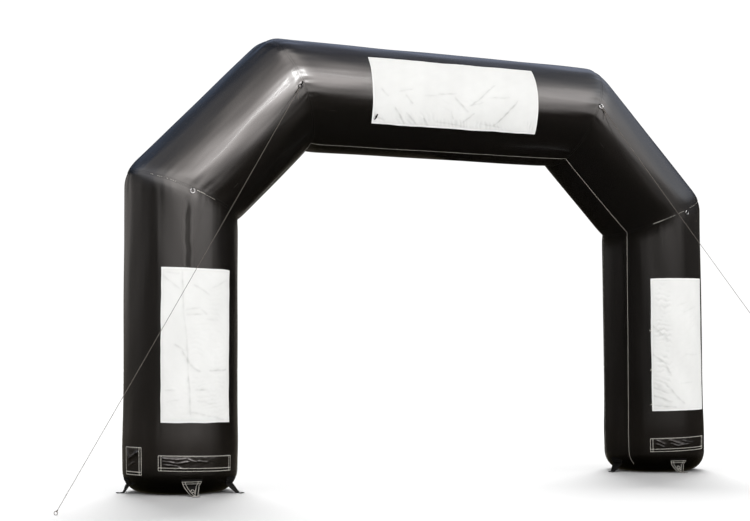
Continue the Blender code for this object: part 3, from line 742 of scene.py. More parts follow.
def coated_polyester(colours):
    """Woven polyester, coated both sides with soft PVC: glossy black, with the weave just showing.

    The coating gives wide soft reflections, broken by long shallow wrinkles; dust browns it near the floor,
    and under the rounded foot its colour is painted darker, as painted shade.
    """
    material, tree, shader = new_material(
        "pvc_coated_polyester", colours.coated, 0.3, IOR=1.5, Coat_Weight=0.25, Coat_Roughness=0.12
    )
    chart = add_node(tree, "UVMap", uv_map="cloth")
    place = (add_node(tree, "TexCoord"), "Object")
    height = (add_node(tree, "SeparateXYZ", links={0: place}), "Z")
    # dust lies in patches about 0.4 m across, thick at the floor and thin from 1.3 m up
    spots = add_node(tree, "TexNoise", {"Scale": 2.6, "Detail": 5.0, "Roughness": 0.62}, {"Vector": place})
    near_floor = {"From Max": 1.3, "To Min": 1.1, "To Max": 0.1}
    low = add_node(tree, "MapRange", near_floor, {"Value": height})
    dust = add_node(tree, "Math", links={0: low, 1: spots}, operation="MULTIPLY")
    # handling wipes the gloss in streaks about 0.1 m wide, and a long fold rubs it dull
    streaks_along = {"Scale": (8.0, 0.35, 1.0)}
    lengthwise = add_node(tree, "Mapping", streaks_along, {"Vector": chart})
    wiped = add_node(tree, "TexNoise", {"Scale": 1.0, "Detail": 4.0, "Roughness": 0.6}, {"Vector": lengthwise})
    gloss = {"From Min": 0.3, "From Max": 0.7, "To Min": 0.225, "To Max": 0.275}
    wear = add_node(tree, "MapRange", gloss, {"Value": wiped})
    scuffed = (add_node(tree, "Attribute", attribute_name="scuff"), "Fac")
    dull = add_node(tree, "Math", {1: 1.3}, {0: scuffed, 2: wear}, operation="MULTIPLY_ADD")
    # wrinkles about 0.1 m apart and 0.5 m long; the weave, really 1 mm, is drawn at the pitch of the sizes
    stretched = add_node(tree, "Mapping", {"Scale": (9.0, 2.2, 1.0)}, {"Vector": chart})
    wandering = {"Scale": 1.0, "Detail": 4.0, "Roughness": 0.5, "Distortion": 0.4}
    wrinkles = add_node(tree, "TexNoise", wandering, {"Vector": stretched})
    weave = crossed_threads(tree, chart, bpy.context.scene.arch_sizes.weave)
    reliefs = ((wrinkles, 0.35, 0.004), (weave, 0.12, 0.0006))
    links = dress(tree, shader, reliefs, (colours.coated, colours.dusty), dust)
    # painted shade: below 0.45 m the colour darkens towards the floor, under the rounded foot
    under = {"From Min": 0.22, "From Max": 0.45, "To Min": 0.12, "To Max": 1.0}
    foot = add_node(tree, "MapRange", under, {"Value": height})
    shaded = {"A": links["Base Color"], "B": foot}
    foot_shaded_colour = add_node(tree, "Mix", {"Factor": 1.0}, shaded, data_type="RGBA", blend_type="MULTIPLY")
    feed(tree, shader, {"Base Color": (foot_shaded_colour, 2), "Roughness": dull})
    return material


def banner_polyester(colours):
    """White woven polyester, crumpled from packing: matt, painted grey as shade in its creases, hollows and lower
    part; the hem keeps the plain white.
    """
    material, tree, shader = new_material(
        "woven_banner_polyester", colours.banner, 0.78, IOR=1.5, Specular_IOR_Level=0.2
    )
    chart = add_node(tree, "UVMap", uv_map="cloth")
    crumples = {"Scale": 9.0, "Detail": 6.0, "Roughness": 0.6, "Distortion": 1.2}  # about 0.1 m across
    soft = add_node(tree, "TexNoise", crumples, {"Vector": chart})
    weave = crossed_threads(tree, chart, BANNER_WEAVE)
    # the shade attribute carries painted shade in creases, hollows and lower parts, with the cloth's own tone
    grey = (add_node(tree, "Attribute", attribute_name="shade"), "Fac")
    reliefs = ((soft, 0.3, 0.006), (weave, 0.1, 0.0004))
    dress(tree, shader, reliefs, (colours.banner, colours.banner_grey_and_shade), grey)
    return material


def polyamide_webbing(colours):
    """Woven polyamide tape: matt black and finely ribbed, a little worn in patches of 3 cm."""
    material, tree, shader = new_material(
        "woven_polyamide_webbing", colours.webbing, 0.8, IOR=1.5, Specular_IOR_Level=0.08
    )
    chart = add_node(tree, "UVMap", uv_map="cloth")
    ribs = crossed_threads(tree, chart, WEBBING_RIB)
    worn = add_node(tree, "TexNoise", {"Scale": 30.0, "Detail": 3.0}, {"Vector": chart})
    dress(tree, shader, [(ribs, 0.5, 0.0008)], (colours.webbing, colours.worn_webbing), worn)
    return material


def sewing_thread(name, base):
    """Bonded polyester thread: matt, with the twist of its plies, soiled in patches of 0.25 m."""
    material, tree, shader = new_material(name, base, 0.7, IOR=1.5, Specular_IOR_Level=0.3)
    place = (add_node(tree, "TexCoord"), "Object")
    plies = add_node(tree, "TexNoise", {"Scale": THREAD_PLIES, "Detail": 2.0}, {"Vector": place})
    greying = add_node(tree, "TexNoise", {"Scale": 4.0, "Detail": 3.0}, {"Vector": place})
    dress(tree, shader, [(plies, 0.3, 0.001)], (base, [c * SOILED_THREAD for c in base]), greying)
    return material


def plated_steel(name, base):
    """Steel wire and sheet, plated and tumbled: a clean metal gloss, dulled in fine handling scratches."""
    material, tree, shader = new_material(name, base, 0.3, Metallic=1.0)
    place = (add_node(tree, "TexCoord"), "Object")
    scratches = add_node(tree, "TexNoise", {"Scale": SCRATCHES, "Detail": 4.0}, {"Vector": place})
    dulled = {"From Min": 0.3, "From Max": 0.7, "To Min": 0.2, "To Max": 0.42}
    worn = add_node(tree, "MapRange", dulled, {"Value": scratches})
    dress(tree, shader, [(scratches, 0.1, 0.0004)])
    feed(tree, shader, {"Roughness": worn})
    return material


def braided_rope(colours):
    """Braided polypropylene rope: matt, with strands that cross on the slant, and painted shade between them."""
    material, tree, shader = new_material(
        "braided_polypropylene_rope", colours.rope, 0.72, IOR=1.49, Specular_IOR_Level=0.3
    )
    chart = add_node(tree, "UVMap", uv_map="cloth")
    slant = add_node(tree, "Mapping", {"Rotation": (0.0, 0.0, math.radians(45))}, {"Vector": chart})
    braid = crossed_threads(tree, slant, ROPE_STRAND, "MAXIMUM")
    # painted shade: the rope's colour darkens between its strands
    dress(tree, shader, [(braid, 0.6, 0.001)], (colours.rope_hollow_shade, colours.rope), braid)
    return material


def floor_paint(colours):
    """Matt floor paint, rolled on: even and near white, with the roller's stipple every 25 mm."""
    material, tree, shader = new_material("rolled_floor_paint", colours.floor, 1.0, Specular_IOR_Level=0.0)
    place = (add_node(tree, "TexCoord"), "Object")
    stipple = add_node(tree, "TexNoise", {"Scale": 40.0, "Detail": 2.0}, {"Vector": place})
    dress(tree, shader, [(stipple, 0.05, 0.001)])
    return material


FINISHES = {
    "coated": coated_polyester,
    "banner": banner_polyester,
    "webbing": polyamide_webbing,
    "thread": lambda colours: sewing_thread("bonded_pale_thread", colours.thread),
    "dark_thread": lambda colours: sewing_thread("bonded_dark_thread", colours.dark_thread),
    "steel": lambda colours: plated_steel("nickel_plated_steel", colours.steel),
    "shaded_steel": lambda colours: plated_steel("nickel_steel_in_painted_shade", colours.shaded_steel),
    "rope": braided_rope,
    "floor": floor_paint,
}
MADE = {}


def finish(kind):
    """The material of this kind, made the first time that it is asked for."""
    if kind not in MADE:
        MADE[kind] = FINISHES[kind](bpy.context.scene.arch_colours)
    return MADE[kind]


# -------- air tubes and their seams

SOLE_RINGS = (0.0, 0.2, 0.4, CONTACT_RADIUS)
SEAM_SPOTS = 260
# Each kind of row: its height over the skin, the length of a stitch and the pitch
MITRE_ROW, PALE_ROW = (0.0008, 0.013, 0.02), (0.0018, 0.019, 0.021)
OVERLOCK_LIFT, OVERLOCK_THREAD, OVERLOCK_PITCH = 0.0012, 0.0042, 0.0065
SEAM_CLEAR, FOOT_CLEAR = 0.004, 0.12  # how far from a mitre and from the floor a panel seam ends
MITRE_ROW_OFFSET = 0.016
MITRES = ("left_lower", "left_upper", "right_upper", "right_lower")

# Pale rows that reinforce the lower mitres: degrees from the front where a row starts and ends, its
# distance from the mitre in metres (negative on the leg), the share of its stitches that show, and the
# width of its thread
PALE_ROWS = {
    "left_lower": (
        (-6.0, 3.0, -0.004, 1.0, 0.012),
        (-17.0, -7.0, -0.008, 0.8, 0.004),
        (24.0, 52.0, -0.004, 0.6, 0.0045),
    ),
    "right_lower": (
        (-33.0, -22.0, 0.006, 1.0, 0.0075),
        (-22.0, 6.0, 0.006, 0.8, 0.0045),
        (15.0, 52.0, 0.006, 0.5, 0.004),
    ),
}


def tube_object(name, tube):
    """The dense skin of one air tube, and the sole of a leg's foot."""
    columns, shares = tube.columns(), tube.stations()[:, None]
    angle = tube.follow_seams(columns[None, :], shares * tube.length)
    first, last = tube.cut(angle, False), tube.cut(angle, True)
    along = first + shares * (last - first)
    round_it = np.concatenate([angle, angle[:, :1] + math.tau], axis=1) * tube.full_radius
    up = np.concatenate([along, along[:, :1]], axis=1)
    pattern = Pattern()
    pattern.grid(tube.skin(angle, along), chart_of(round_it, up), closed=True)
    if tube.is_leg:
        foot = 0 if tube.mitres[0] is None else -1
        radii = np.array(SOLE_RINGS)[:, None]
        sole = tube.point(angle[foot][None, :], along[foot][None, :], radii)
        pattern.grid(sole, chart_of(round_it[foot][None, :], radii), closed=True)
    obj = pattern.made(f"tube_{name}", finish("coated"), weld=1e-5)
    ease_shading(obj, tube)
    fit_on(obj, "coated_fabric", name)


def ease_shading(obj, tube):
    """Gives the tube's points the eased outward directions; the sole and the foot keep their own.

    Where a long fold rubbed the coating dull, the points get a share of it as "scuff".
    """
    mesh = obj.data
    spots, own = (np.empty(len(mesh.vertices) * 3) for _ in range(2))
    mesh.vertices.foreach_get("co", spots)
    away = spots.reshape(-1, 3) - tube.start
    along = away @ tube.along
    angle = np.arctan2(away @ tube.outward, away @ FRONT)
    scuff = mesh.attributes.new("scuff", "FLOAT", "POINT")
    scuff.data.foreach_set("value", tube.folded(angle, along)[0].astype(np.float32))
    normals = tube.soft_normals(angle, along)
    if tube.is_leg:
        mesh.vertex_normals.foreach_get("vector", own)
        low = tube.height(along) < FOOT_RISE
        normals[low] = own.reshape(-1, 3)[low]
    mesh.normals_split_custom_set_from_vertices(normals.tolist())


def stitch_skin(pattern, tube, angle, along, thread, lift, stitch, pitch, across=False):
    """A row of stitches on a tube's skin."""
    stitch_line(pattern, tube.skin(angle, along, lift), tube.radial(angle), thread, stitch, pitch, across)


def sew_panels(name, tube):
    """The pale overlock that closes both seams of a tube's inner panel."""
    pattern = Pattern()
    low, high = (FOOT_CLEAR if seed is None else SEAM_CLEAR for seed in tube.mitres)
    share = np.linspace(0.0, 1.0, SEAM_SPOTS)
    for rear in (0, 1):
        along = share * tube.length
        for _ in range(3):  # the ends of the seam come to lie on the cuts
            angle = tube.panel_seams(along)[rear]
            first, last = tube.cut(angle, False), tube.cut(angle, True)
            along = first + low + share * (last - high - first - low)
        width = bpy.context.scene.arch_sizes.seam_thread
        stitch_skin(pattern, tube, angle, along, OVERLOCK_THREAD, OVERLOCK_LIFT, width, OVERLOCK_PITCH, across=True)
    sewn(pattern, f"seam_{name}", "thread", "coated_fabric")


def sew_mitre(name, below, above):
    """A row of black stitches on each side of a mitre, all the way round."""
    pattern = Pattern()
    angle = np.linspace(-math.pi, math.pi, 400)
    for tube, at_end, sign in ((below, True, -1), (above, False, 1)):
        along = tube.cut(angle, at_end) + sign * MITRE_ROW_OFFSET
        stitch_skin(pattern, tube, angle, along, bpy.context.scene.arch_sizes.mitre_thread, *MITRE_ROW)
    sewn(pattern, f"mitre_seam_{name}", "dark_thread", "coated_fabric")


def sew_pale_rows(name, leg, shoulder, at_end):
    """The rows of pale thread at a lower mitre, with gaps where the thread is worn away."""
    pattern = Pattern()
    rng = np.random.default_rng(len(name))
    for first, last, offset, share, thread in PALE_ROWS[name]:
        tube = leg if offset < 0 else shoulder
        end = at_end if offset < 0 else not at_end
        angle = np.radians(np.linspace(first, last, max(8, int(abs(last - first) * 1.5))))
        along = tube.cut(angle, end) + (-1 if end else 1) * abs(offset)
        steps = int(1 / max(0.05, 1 - share)) + 1
        shown = steps if share > 0.95 else int(steps * share) + 2
        for start in range(0, len(angle) - 1, steps):
            part = slice(start, min(len(angle), start + max(2, shown)))
            if len(angle[part]) >= 2 and rng.random() <= 0.5 + share / 2:
                stitch_skin(pattern, tube, angle[part], along[part], thread, *PALE_ROW)
    sewn(pattern, f"pale_rows_{name}", "thread", "coated_fabric")


class ARCH_OT_air_tubes(bpy.types.Operator):
    """Build the five air tubes"""

    bl_idname = "arch.air_tubes"
    bl_label = "Air Tubes"

    def execute(self, context):
        for name, tube in TUBES.items():
            tube_object(name, tube)
        return {"FINISHED"}


class ARCH_OT_tube_seams(bpy.types.Operator):
    """Sew the mitres and the inner panels of the tubes"""

    bl_idname = "arch.tube_seams"
    bl_label = "Tube Seams"

    def execute(self, context):
        for name, tube in TUBES.items():
            sew_panels(name, tube)
        tubes = list(TUBES.values())
        for name, below, above in zip(MITRES, tubes, tubes[1:]):
            sew_mitre(name, below, above)
        sew_pale_rows("left_lower", TUBES["leg_left"], TUBES["shoulder_left"], True)
        sew_pale_rows("right_lower", TUBES["leg_right"], TUBES["shoulder_right"], False)
        return {"FINISHED"}


# -------- banners, flaps and pocket

# Creases: their ends as (u, v) twice, height in crease depths and width
LEFT_CREASES = (
    (-0.221, 1.925, -0.199, 1.345, 1.0, 0.02), (-0.199, 1.345, -0.155, 1.069, 0.6, 0.018),
    (-0.155, 1.069, -0.141, 0.667, 1.0, 0.018), (-0.141, 0.667, -0.102, 0.091, 1.1, 0.018),
    (-0.473, 1.876, -0.245, 1.673, 0.8, 0.02), (-0.447, 1.901, -0.246, 1.875, 0.6, 0.014),
    (-0.082, 1.75, 0.148, 1.614, 0.9, 0.018), (0.177, 1.704, 0.421, 1.827, 0.7, 0.02),
    (-0.169, 1.366, 0.05, 1.367, -1.0, 0.016), (-0.169, 1.421, 0.023, 1.46, 0.8, 0.016),
    (0.023, 1.447, 0.106, 1.367, 0.8, 0.014), (0.092, 1.309, 0.274, 1.298, 0.5, 0.014),
    (-0.316, 0.994, -0.18, 0.918, 1.0, 0.016), (-0.217, 0.918, -0.117, 0.742, 1.2, 0.018),
    (-0.117, 0.742, 0.026, 0.641, 1.3, 0.018), (0.137, 0.652, 0.425, 0.667, -1.5, 0.016),
    (-0.065, 0.416, 0.123, 0.413, -1.0, 0.012), (-0.44, 0.418, -0.289, 0.418, 0.8, 0.012),
    (-0.102, 0.141, 0.096, 0.099, 0.8, 0.014), (0.096, 0.099, 0.387, 0.026, 0.8, 0.014),
    (-0.013, 0.29, 0.213, 0.222, 0.4, 0.014), (-0.414, 0.268, -0.239, 0.293, 0.4, 0.012),
)
RIGHT_CREASES = (
    (-0.491, 1.282, -0.23, 1.045, 1.2, 0.018), (-0.497, 0.854, -0.296, 0.721, 1.4, 0.018),
    (-0.296, 0.721, -0.193, 0.529, 1.1, 0.016), (-0.271, 0.368, 0.017, 0.099, 1.2, 0.016),
    (-0.504, 0.368, -0.243, 0.25, -1.2, 0.016), (-0.506, 0.25, -0.184, 0.132, 1.3, 0.016),
    (-0.451, 0.089, -0.122, 0.043, -1.2, 0.014), (0.009, 1.46, 0.277, 1.538, 0.5, 0.014),
    (0.033, 0.837, 0.312, 0.836, 0.5, 0.014), (-0.048, 0.41, 0.191, 0.421, 0.5, 0.014),
    (-0.094, 1.548, 0.089, 1.609, 0.4, 0.014),
)
BEAM_CREASES = (
    (-1.186, 0.492, -1.072, 0.382, 0.9, 0.018), (-0.98, 0.257, -0.803, 0.026, 1.8, 0.026),
    (-0.808, 0.431, -0.702, 0.306, 1.1, 0.018), (-0.806, 0.195, -0.622, 0.038, 1.5, 0.02),
    (-0.523, 0.436, -0.319, 0.451, 0.6, 0.014), (-0.319, 0.466, -0.009, 0.504, 1.0, 0.016),
    (-0.063, 0.455, 0.174, 0.246, 1.2, 0.02), (0.605, 0.665, 0.199, 0.337, 1.2, 0.022),
    (0.277, 0.253, 0.079, 0.101, 1.2, 0.02), (0.957, 0.466, 0.591, 0.087, 1.9, 0.04),
    (0.495, 0.479, 0.833, 0.504, 0.8, 0.014), (-1.271, 0.119, -1.108, 0.053, -1.2, 0.022),
    (-0.923, 0.467, -0.688, 0.515, 0.6, 0.014), (-0.527, 0.138, -0.431, 0.019, 1.4, 0.018),
    (-0.347, 0.089, 0.181, 0.044, -1.0, 0.016), (0.375, 0.105, 0.739, 0.065, -1.0, 0.02),
    (-0.104, 0.257, -0.05, 0.139, 0.8, 0.014), (0.165, 0.335, 0.406, 0.412, 0.7, 0.016),
)
# Patches of ripples: middle, half sizes, pitch, the way across them in degrees from up, and their height
LEFT_RIPPLES = ((0.14, 1.05, 0.3, 0.85, 0.066, 4.0, 0.0009), (0.1, 0.3, 0.34, 0.25, 0.058, -8.0, 0.0015))
RIGHT_RIPPLES = (
    (-0.31, 1.2, 0.11, 0.78, 0.074, 5.0, 0.0052), (-0.33, 0.34, 0.12, 0.25, 0.07, 24.0, 0.004),
    (0.15, 1.05, 0.28, 0.6, 0.085, -20.0, 0.0008),
)
BEAM_RIPPLES = (
    (-1.22, 0.1, 0.09, 0.1, 0.06, 50.0, 0.0045), (-0.66, 0.1, 0.3, 0.1, 0.07, 62.0, 0.0045),
    (-0.12, 0.07, 0.32, 0.07, 0.056, 70.0, 0.0036), (0.55, 0.07, 0.26, 0.07, 0.062, 72.0, 0.0036),
    (1.16, 0.09, 0.12, 0.1, 0.055, 80.0, 0.004), (0.1, 0.33, 0.4, 0.1, 0.075, 25.0, 0.0012),
)


# How far each banner's cut lies off its rectangle: (u, v) in metres at the bottom left, middle left, top
# left, bottom right, middle right and top right
LEFT_CUT = (
    (-0.004, 0.012), (-0.003, 0.0), (0.0, 0.014), (-0.014, -0.004), (-0.016, 0.0), (-0.002, -0.011)
)
RIGHT_CUT = ((0.004, 0.0), (0.003, 0.0), (0.009, 0.003), (0.0, 0.016), (0.0, 0.0), (0.0, 0.02))
BEAM_CUT = (
    (-0.018, 0.005), (-0.052, 0.0), (-0.029, -0.012), (-0.041, 0.014), (-0.044, 0.0), (-0.022, 0.016)
)

# Each banner: its word, tube, sheet, cut, creases, ripples, greyness at top and bottom (a little is the cloth's
# tone, the rest painted shade: greyer at the bottom and on the right banner), and seed
BANNERS = (
    ("left", "leg_left", LEG_BANNER, LEFT_CUT, LEFT_CREASES, LEFT_RIPPLES, (0.15, 0.16), 51),
    ("right", "leg_right", LEG_BANNER, RIGHT_CUT, RIGHT_CREASES, RIGHT_RIPPLES, (0.21, 0.25), 57),
    ("beam", "beam", BEAM_BANNER, BEAM_CUT, BEAM_CREASES, BEAM_RIPPLES, (0.13, 0.26), 63),
)

# The ties that show at a banner's edges: their finish and radius, and where each starts and ends as (u, v)
BANNER_TIES = {
    "beam": ("webbing", 0.011, [((-1.232, 0.140), (-1.272, 0.066))]),
    "right": (
        "thread",
        0.0055,
        [
            ((-0.478, 1.175), (-0.505, 1.190)),
            ((-0.478, 0.625), (-0.507, 0.600)),
            ((-0.476, 0.105), (-0.508, 0.095)),
        ],
    ),
}


def crease_height(creases, u, v):
    """Height of a cloth's creases in crease depths: wandering crests that fade at their ends."""
    total = np.zeros(np.broadcast(u, v).shape)
    wander_u, wander_v = (CREASE_WANDER * uneven(seed, 0.06, 0.4, u, v, 6) for seed in (5, 6))
    for number, (u0, v0, u1, v1, height, width) in enumerate(creases):
        across, up = u1 - u0, v1 - v0
        over, rise = u + wander_u - u0, v + wander_v - v0
        reach = across**2 + up**2
        share = share_of((over * across + rise * up) / reach)
        away = np.hypot(over - across * share, rise - up * share)
        fade = np.sqrt(np.clip(1 - (2 * share - 1) ** 4, 0.02, 1.0))
        fade = fade * (0.85 + 0.25 * np.sin(9.0 * share * math.sqrt(reach) / 0.2 + number))
        total += height * fade * np.exp(-away / width)
    return total


def ripple_height(ripples, u, v):
    """Height of a cloth's patches of ripples, in metres."""
    total = np.zeros(np.broadcast(u, v).shape)
    for middle_u, middle_v, half_u, half_v, pitch, degrees, height in ripples:
        over, up, turn = u - middle_u, v - middle_v, math.radians(degrees)
        inside = np.exp(-((over / half_u) ** 4) - (up / half_v) ** 4)
        run = up * math.cos(turn) + over * math.sin(turn)
        seed = int(1000 * pitch)
        bend = 3.2 * uneven(seed, 0.07, 0.5, u, v, 6)
        faded = np.clip(0.5 + 0.7 * uneven(seed + 1, 0.08, 0.5, u, v, 6), 0.0, 1.4)
        total += height * inside * faded * np.sin(math.tau * run / pitch + bend)
    return total


def edge_distance(sheet, u, v):
    """How far inside the edges of a sheet a place is."""
    return np.minimum(sheet.width / 2 - np.abs(u), np.minimum(v, sheet.height - v))


def greyness(sheet, creases, ripples, greying, u, v):
    """How grey a banner's cloth is painted: painted shade in its creases and in the hollows between ripples; the hem
    keeps the plain white.

    The grey at top and bottom is how grey the plain cloth is there: a little is its tone, the rest painted shade,
    greyer towards the bottom.
    """
    hem = bpy.context.scene.arch_sizes.hem
    lines = [(*row[:4], abs(row[4]), CREASE_SHADE_LINE) for row in creases]
    # painted shade: creases and the hollows between ripples are painted grey
    crease_shade = np.clip(CREASE_SHADE * crease_height(lines, u, v), 0.0, MOST_CREASE_SHADE)
    hollows = np.clip(-HOLLOW_SHADE * ripple_height(ripples, u, v), 0.0, MOST_HOLLOW_SHADE)
    inside = edge_distance(sheet, u, v)
    stitched = HEM_GREY * bell(inside - hem - HEM_ROW_OFFSET, HEM_ROW_REACH)
    # painted shade: the plain cloth greys from its top towards its bottom; a little of the grey is its tone
    soiled = greying[0] + (greying[1] - greying[0]) * (1 - v / sheet.height)
    cloudy = soiled + CLOUDY_GREY * uneven(len(creases), 0.12, 0.9, u, v, 6)
    return share_of((cloudy + crease_shade + hollows) * (inside > hem) + stitched)


def paint(obj, shade):
    """Stores a shade of the cloth's own map, as "shade", at each corner of its faces."""
    mesh = obj.data
    spots = np.empty(len(mesh.loops) * 2)
    mesh.uv_layers["cloth"].data.foreach_get("uv", spots)
    layer = mesh.attributes.new("shade", "FLOAT", "CORNER")
    layer.data.foreach_set("value", shade(*spots.reshape(-1, 2).T).astype(np.float32))


class Cloth:
    """A rectangle of cloth on a tube, with u across from its middle and v up from its bottom."""

    def __init__(self, tube_name, sheet, relief, edge=None):
        self.tube_name, self.sheet, self.relief = tube_name, sheet, relief
        self.edge = edge or (lambda u, v: (0.0, 0.0))

    def at(self, u, v, lift=0.0):
        """Points over the cloth's underside, raised by a lift."""
        u, v = np.broadcast_arrays(np.asarray(u, float), np.asarray(v, float))
        shift_u, shift_v = self.edge(u, v)
        across = self.sheet.centre + u + shift_u
        up = self.sheet.bottom + v + shift_v + self.sheet.slope * u
        tube = TUBES[self.tube_name]
        lift = SEWN_LIFT + self.relief(u, v) + lift
        if self.tube_name == "beam":
            return tube.skin(up / BEAM_RADIUS, BEAM_X + across, lift)
        side = -1 if self.tube_name == "leg_left" else 1
        return tube.skin(side * across / TUBE_RADIUS, tube.height(up), lift)

    def away(self, spot):
        """The direction straight out from the tube's axis at a spot."""
        tube = TUBES[self.tube_name]
        out = spot - tube.start
        return out - tube.along * out.dot(tube.along)

    def outline(self, inset, sides, outer):
        """Lines along these sides, an inset in from the edge, that end at the outermost row."""
        side, tall = self.sheet.width / 2, self.sheet.height
        ends = {
            "b": ((outer - side, inset), (side - outer, inset)),
            "t": ((outer - side, tall - inset), (side - outer, tall - inset)),
            "l": ((inset - side, outer), (inset - side, tall - outer)),
            "r": ((side - inset, outer), (side - inset, tall - outer)),
        }
        for start, end in (ends[letter] for letter in sides):
            count = max(2, int(math.dist(start, end) / OUTLINE_STEP))
            yield [np.linspace(start[k], end[k], count) for k in range(2)]

    def stitch(self, pattern, lines, thickness, thread, stitch, pitch):
        """Sews along lines on the cloth's outer face."""
        for u, v in lines:
            spots = self.at(u, v, thickness + thread / 12)
            outward = self.at(u, v, 0.05) - self.at(u, v)
            stitch_line(pattern, spots, outward, thread, stitch, pitch)

    def piece(self, name, kind, slot, node, step, thickness):
        """The sheet of cloth, stretched on its tube in place of its node."""
        sheet = self.sheet
        u, v = spaced(-sheet.width / 2, sheet.width / 2, step), spaced(0.0, sheet.height, step)
        points = self.at(u[None, :], v[:, None])
        pattern = Pattern()
        pattern.grid(points, chart_of(u[None, :], v[:, None]))
        facing = self.away(points[len(v) // 2, len(u) // 2])
        obj = thicken(pattern.made(name, finish(kind), facing=facing), thickness, offset=1.0)
        fit_on(obj, slot, node)
        return obj


def cut_edges(sheet, cut, seed):
    """Moves a cloth's points to its real cut, with a little waviness along its edges."""
    cut = np.array(cut).reshape(2, 3, 2)  # side, height, (u, v)

    def shift(u, v):
        across = share_of(u / sheet.width + 0.5)
        up = share_of(v / sheet.height)
        weights = ((1 - up) * (1 - 2 * up), 4 * up * (1 - up), up * (2 * up - 1))
        moved = [
            sum(weights[k] * (cut[0, k, axis] * (1 - across) + cut[1, k, axis] * across) for k in range(3))
            for axis in range(2)
        ]
        near_side = np.exp(-(sheet.width / 2 - np.abs(u)) / EDGE_REACH)
        near_end = np.exp(-np.minimum(v, sheet.height - v) / EDGE_REACH)
        wave_u = uneven(seed, 0.22, 0.9, 0.0 * u + np.sign(u), v, 4)
        wave_v = uneven(seed + 1, 0.16, 0.8, u, 0.0 * v + (v > sheet.height / 2), 5)
        return moved[0] + EDGE_WAVE * near_side * wave_u, moved[1] + EDGE_WAVE * near_end * wave_v

    return shift


def hang_banner(word, tube_name, sheet, cut, creases, ripples, greying, seed):
    """A hemmed banner with its creases, ripples and ties."""
    sizes = bpy.context.scene.arch_sizes

    def relief(u, v):
        inside = edge_distance(sheet, u, v)
        hem = 1 / (1 + np.exp((inside - sizes.hem) / HEM_EDGE))
        loose = share_of(inside / LOOSE_REACH)
        soft = SLOW_WAVES * (1 + uneven(seed, 0.09, 0.7, u, v))
        folded = sizes.crease * (CREASE_BASE + crease_height(creases, u, v))
        crumpled = CRUMPLES * np.abs(uneven(seed + 2, 0.05, 0.35, u, v, 9))
        lifted = soft + loose * (crumpled + folded) + ripple_height(ripples, u, v)
        return HEM_RISE * hem + np.maximum(0.0, lifted)

    cloth = Cloth(tube_name, sheet, relief, cut_edges(sheet, cut, seed))
    obj = cloth.piece(f"cloth_banner_{word}", "banner", "banner_cloth", f"banner_{word}", 0.0104, BANNER_CLOTH)
    paint(obj, lambda u, v: greyness(sheet, creases, ripples, greying, u, v))
    if word in BANNER_TIES:
        sew_ties(word, cloth)


def sew_ties(word, cloth):
    """The short ties of one banner, each a cord with a knot in its middle that ends just off the cloth."""
    kind, radius, ties = BANNER_TIES[word]
    pattern = Pattern()
    share = np.linspace(0.0, 1.0, 12)
    for start, end in ties:
        u, v = (start[k] + (end[k] - start[k]) * share for k in range(2))
        lift = radius + 0.004 + 0.006 * np.sin(math.pi * share)
        swell = radius * (0.7 + 0.6 * bell(share - 0.5, 0.2))
        pattern.sweep(cloth.at(u, v, lift), swell, sides=8)
    sewn(pattern, f"ties_banner_{word}", kind, "banner_cloth")


class ARCH_OT_banners(bpy.types.Operator):
    """Hang the three banners"""

    bl_idname = "arch.banners"
    bl_label = "Banners"

    def execute(self, context):
        for row in BANNERS:
            hang_banner(*row)
        return {"FINISHED"}


# Folds of the flaps and the pocket: their ends as (u, v) twice, height and width
LEFT_FLAP_FOLDS = (
    (-0.47, 0.165, -0.3, 0.15, 1.0, 0.01), (-0.3, 0.15, -0.16, 0.16, 0.9, 0.01),
    (-0.47, 0.13, -0.28, 0.105, 1.0, 0.01), (-0.28, 0.105, -0.1, 0.128, 1.0, 0.01),
    (-0.46, 0.09, -0.26, 0.07, 0.9, 0.009), (-0.26, 0.062, -0.2, 0.02, 1.0, 0.008),
    (-0.15, 0.16, -0.02, 0.12, 0.8, 0.008), (-0.02, 0.135, 0.12, 0.125, 0.7, 0.008),
)
RIGHT_FLAP_FOLDS = (
    (-0.4, 0.175, -0.26, 0.115, 1.3, 0.012), (-0.4, 0.12, -0.27, 0.07, 1.2, 0.012),
    (-0.21, 0.17, 0.05, 0.085, 1.7, 0.014), (-0.19, 0.12, -0.06, 0.075, 1.5, 0.012),
    (-0.12, 0.08, 0.15, 0.11, 1.6, 0.013), (0.0, 0.155, 0.22, 0.11, 1.3, 0.012),
)
POCKET_FOLDS = (
    (-0.125, 0.295, -0.06, 0.215, 2.0, 0.016), (-0.07, 0.21, 0.13, 0.305, 2.5, 0.016),
    (-0.11, 0.1, 0.04, 0.17, 0.9, 0.014),
)
FLAP_FOLD_DEPTH, FLAP_WAVES = 0.0085, 0.0016
FLAP_SEWN, FLAP_LOOSE = 0.012, 0.02  # flat this far in from the edge, and loose this much further in
FLAP_STITCH, FLAP_PITCH = 0.014, 0.018
OUTER_ROW, INNER_ROW = 0.009, 0.045  # how far in from the edge the two rows of stitches run
# Each flap or pocket: its node, tube, sheet, folds, seed and the sides that its inner row follows: bottom,
# left and right
FLAPS = (
    ("zip_flap_left", "leg_left", LEFT_ZIP_FLAP, LEFT_FLAP_FOLDS, 71, "blr"),
    ("zip_flap_right", "leg_right", RIGHT_ZIP_FLAP, RIGHT_FLAP_FOLDS, 73, "blr"),
    ("blower_pocket", "leg_left", POCKET, POCKET_FOLDS, 79, "br"),
)


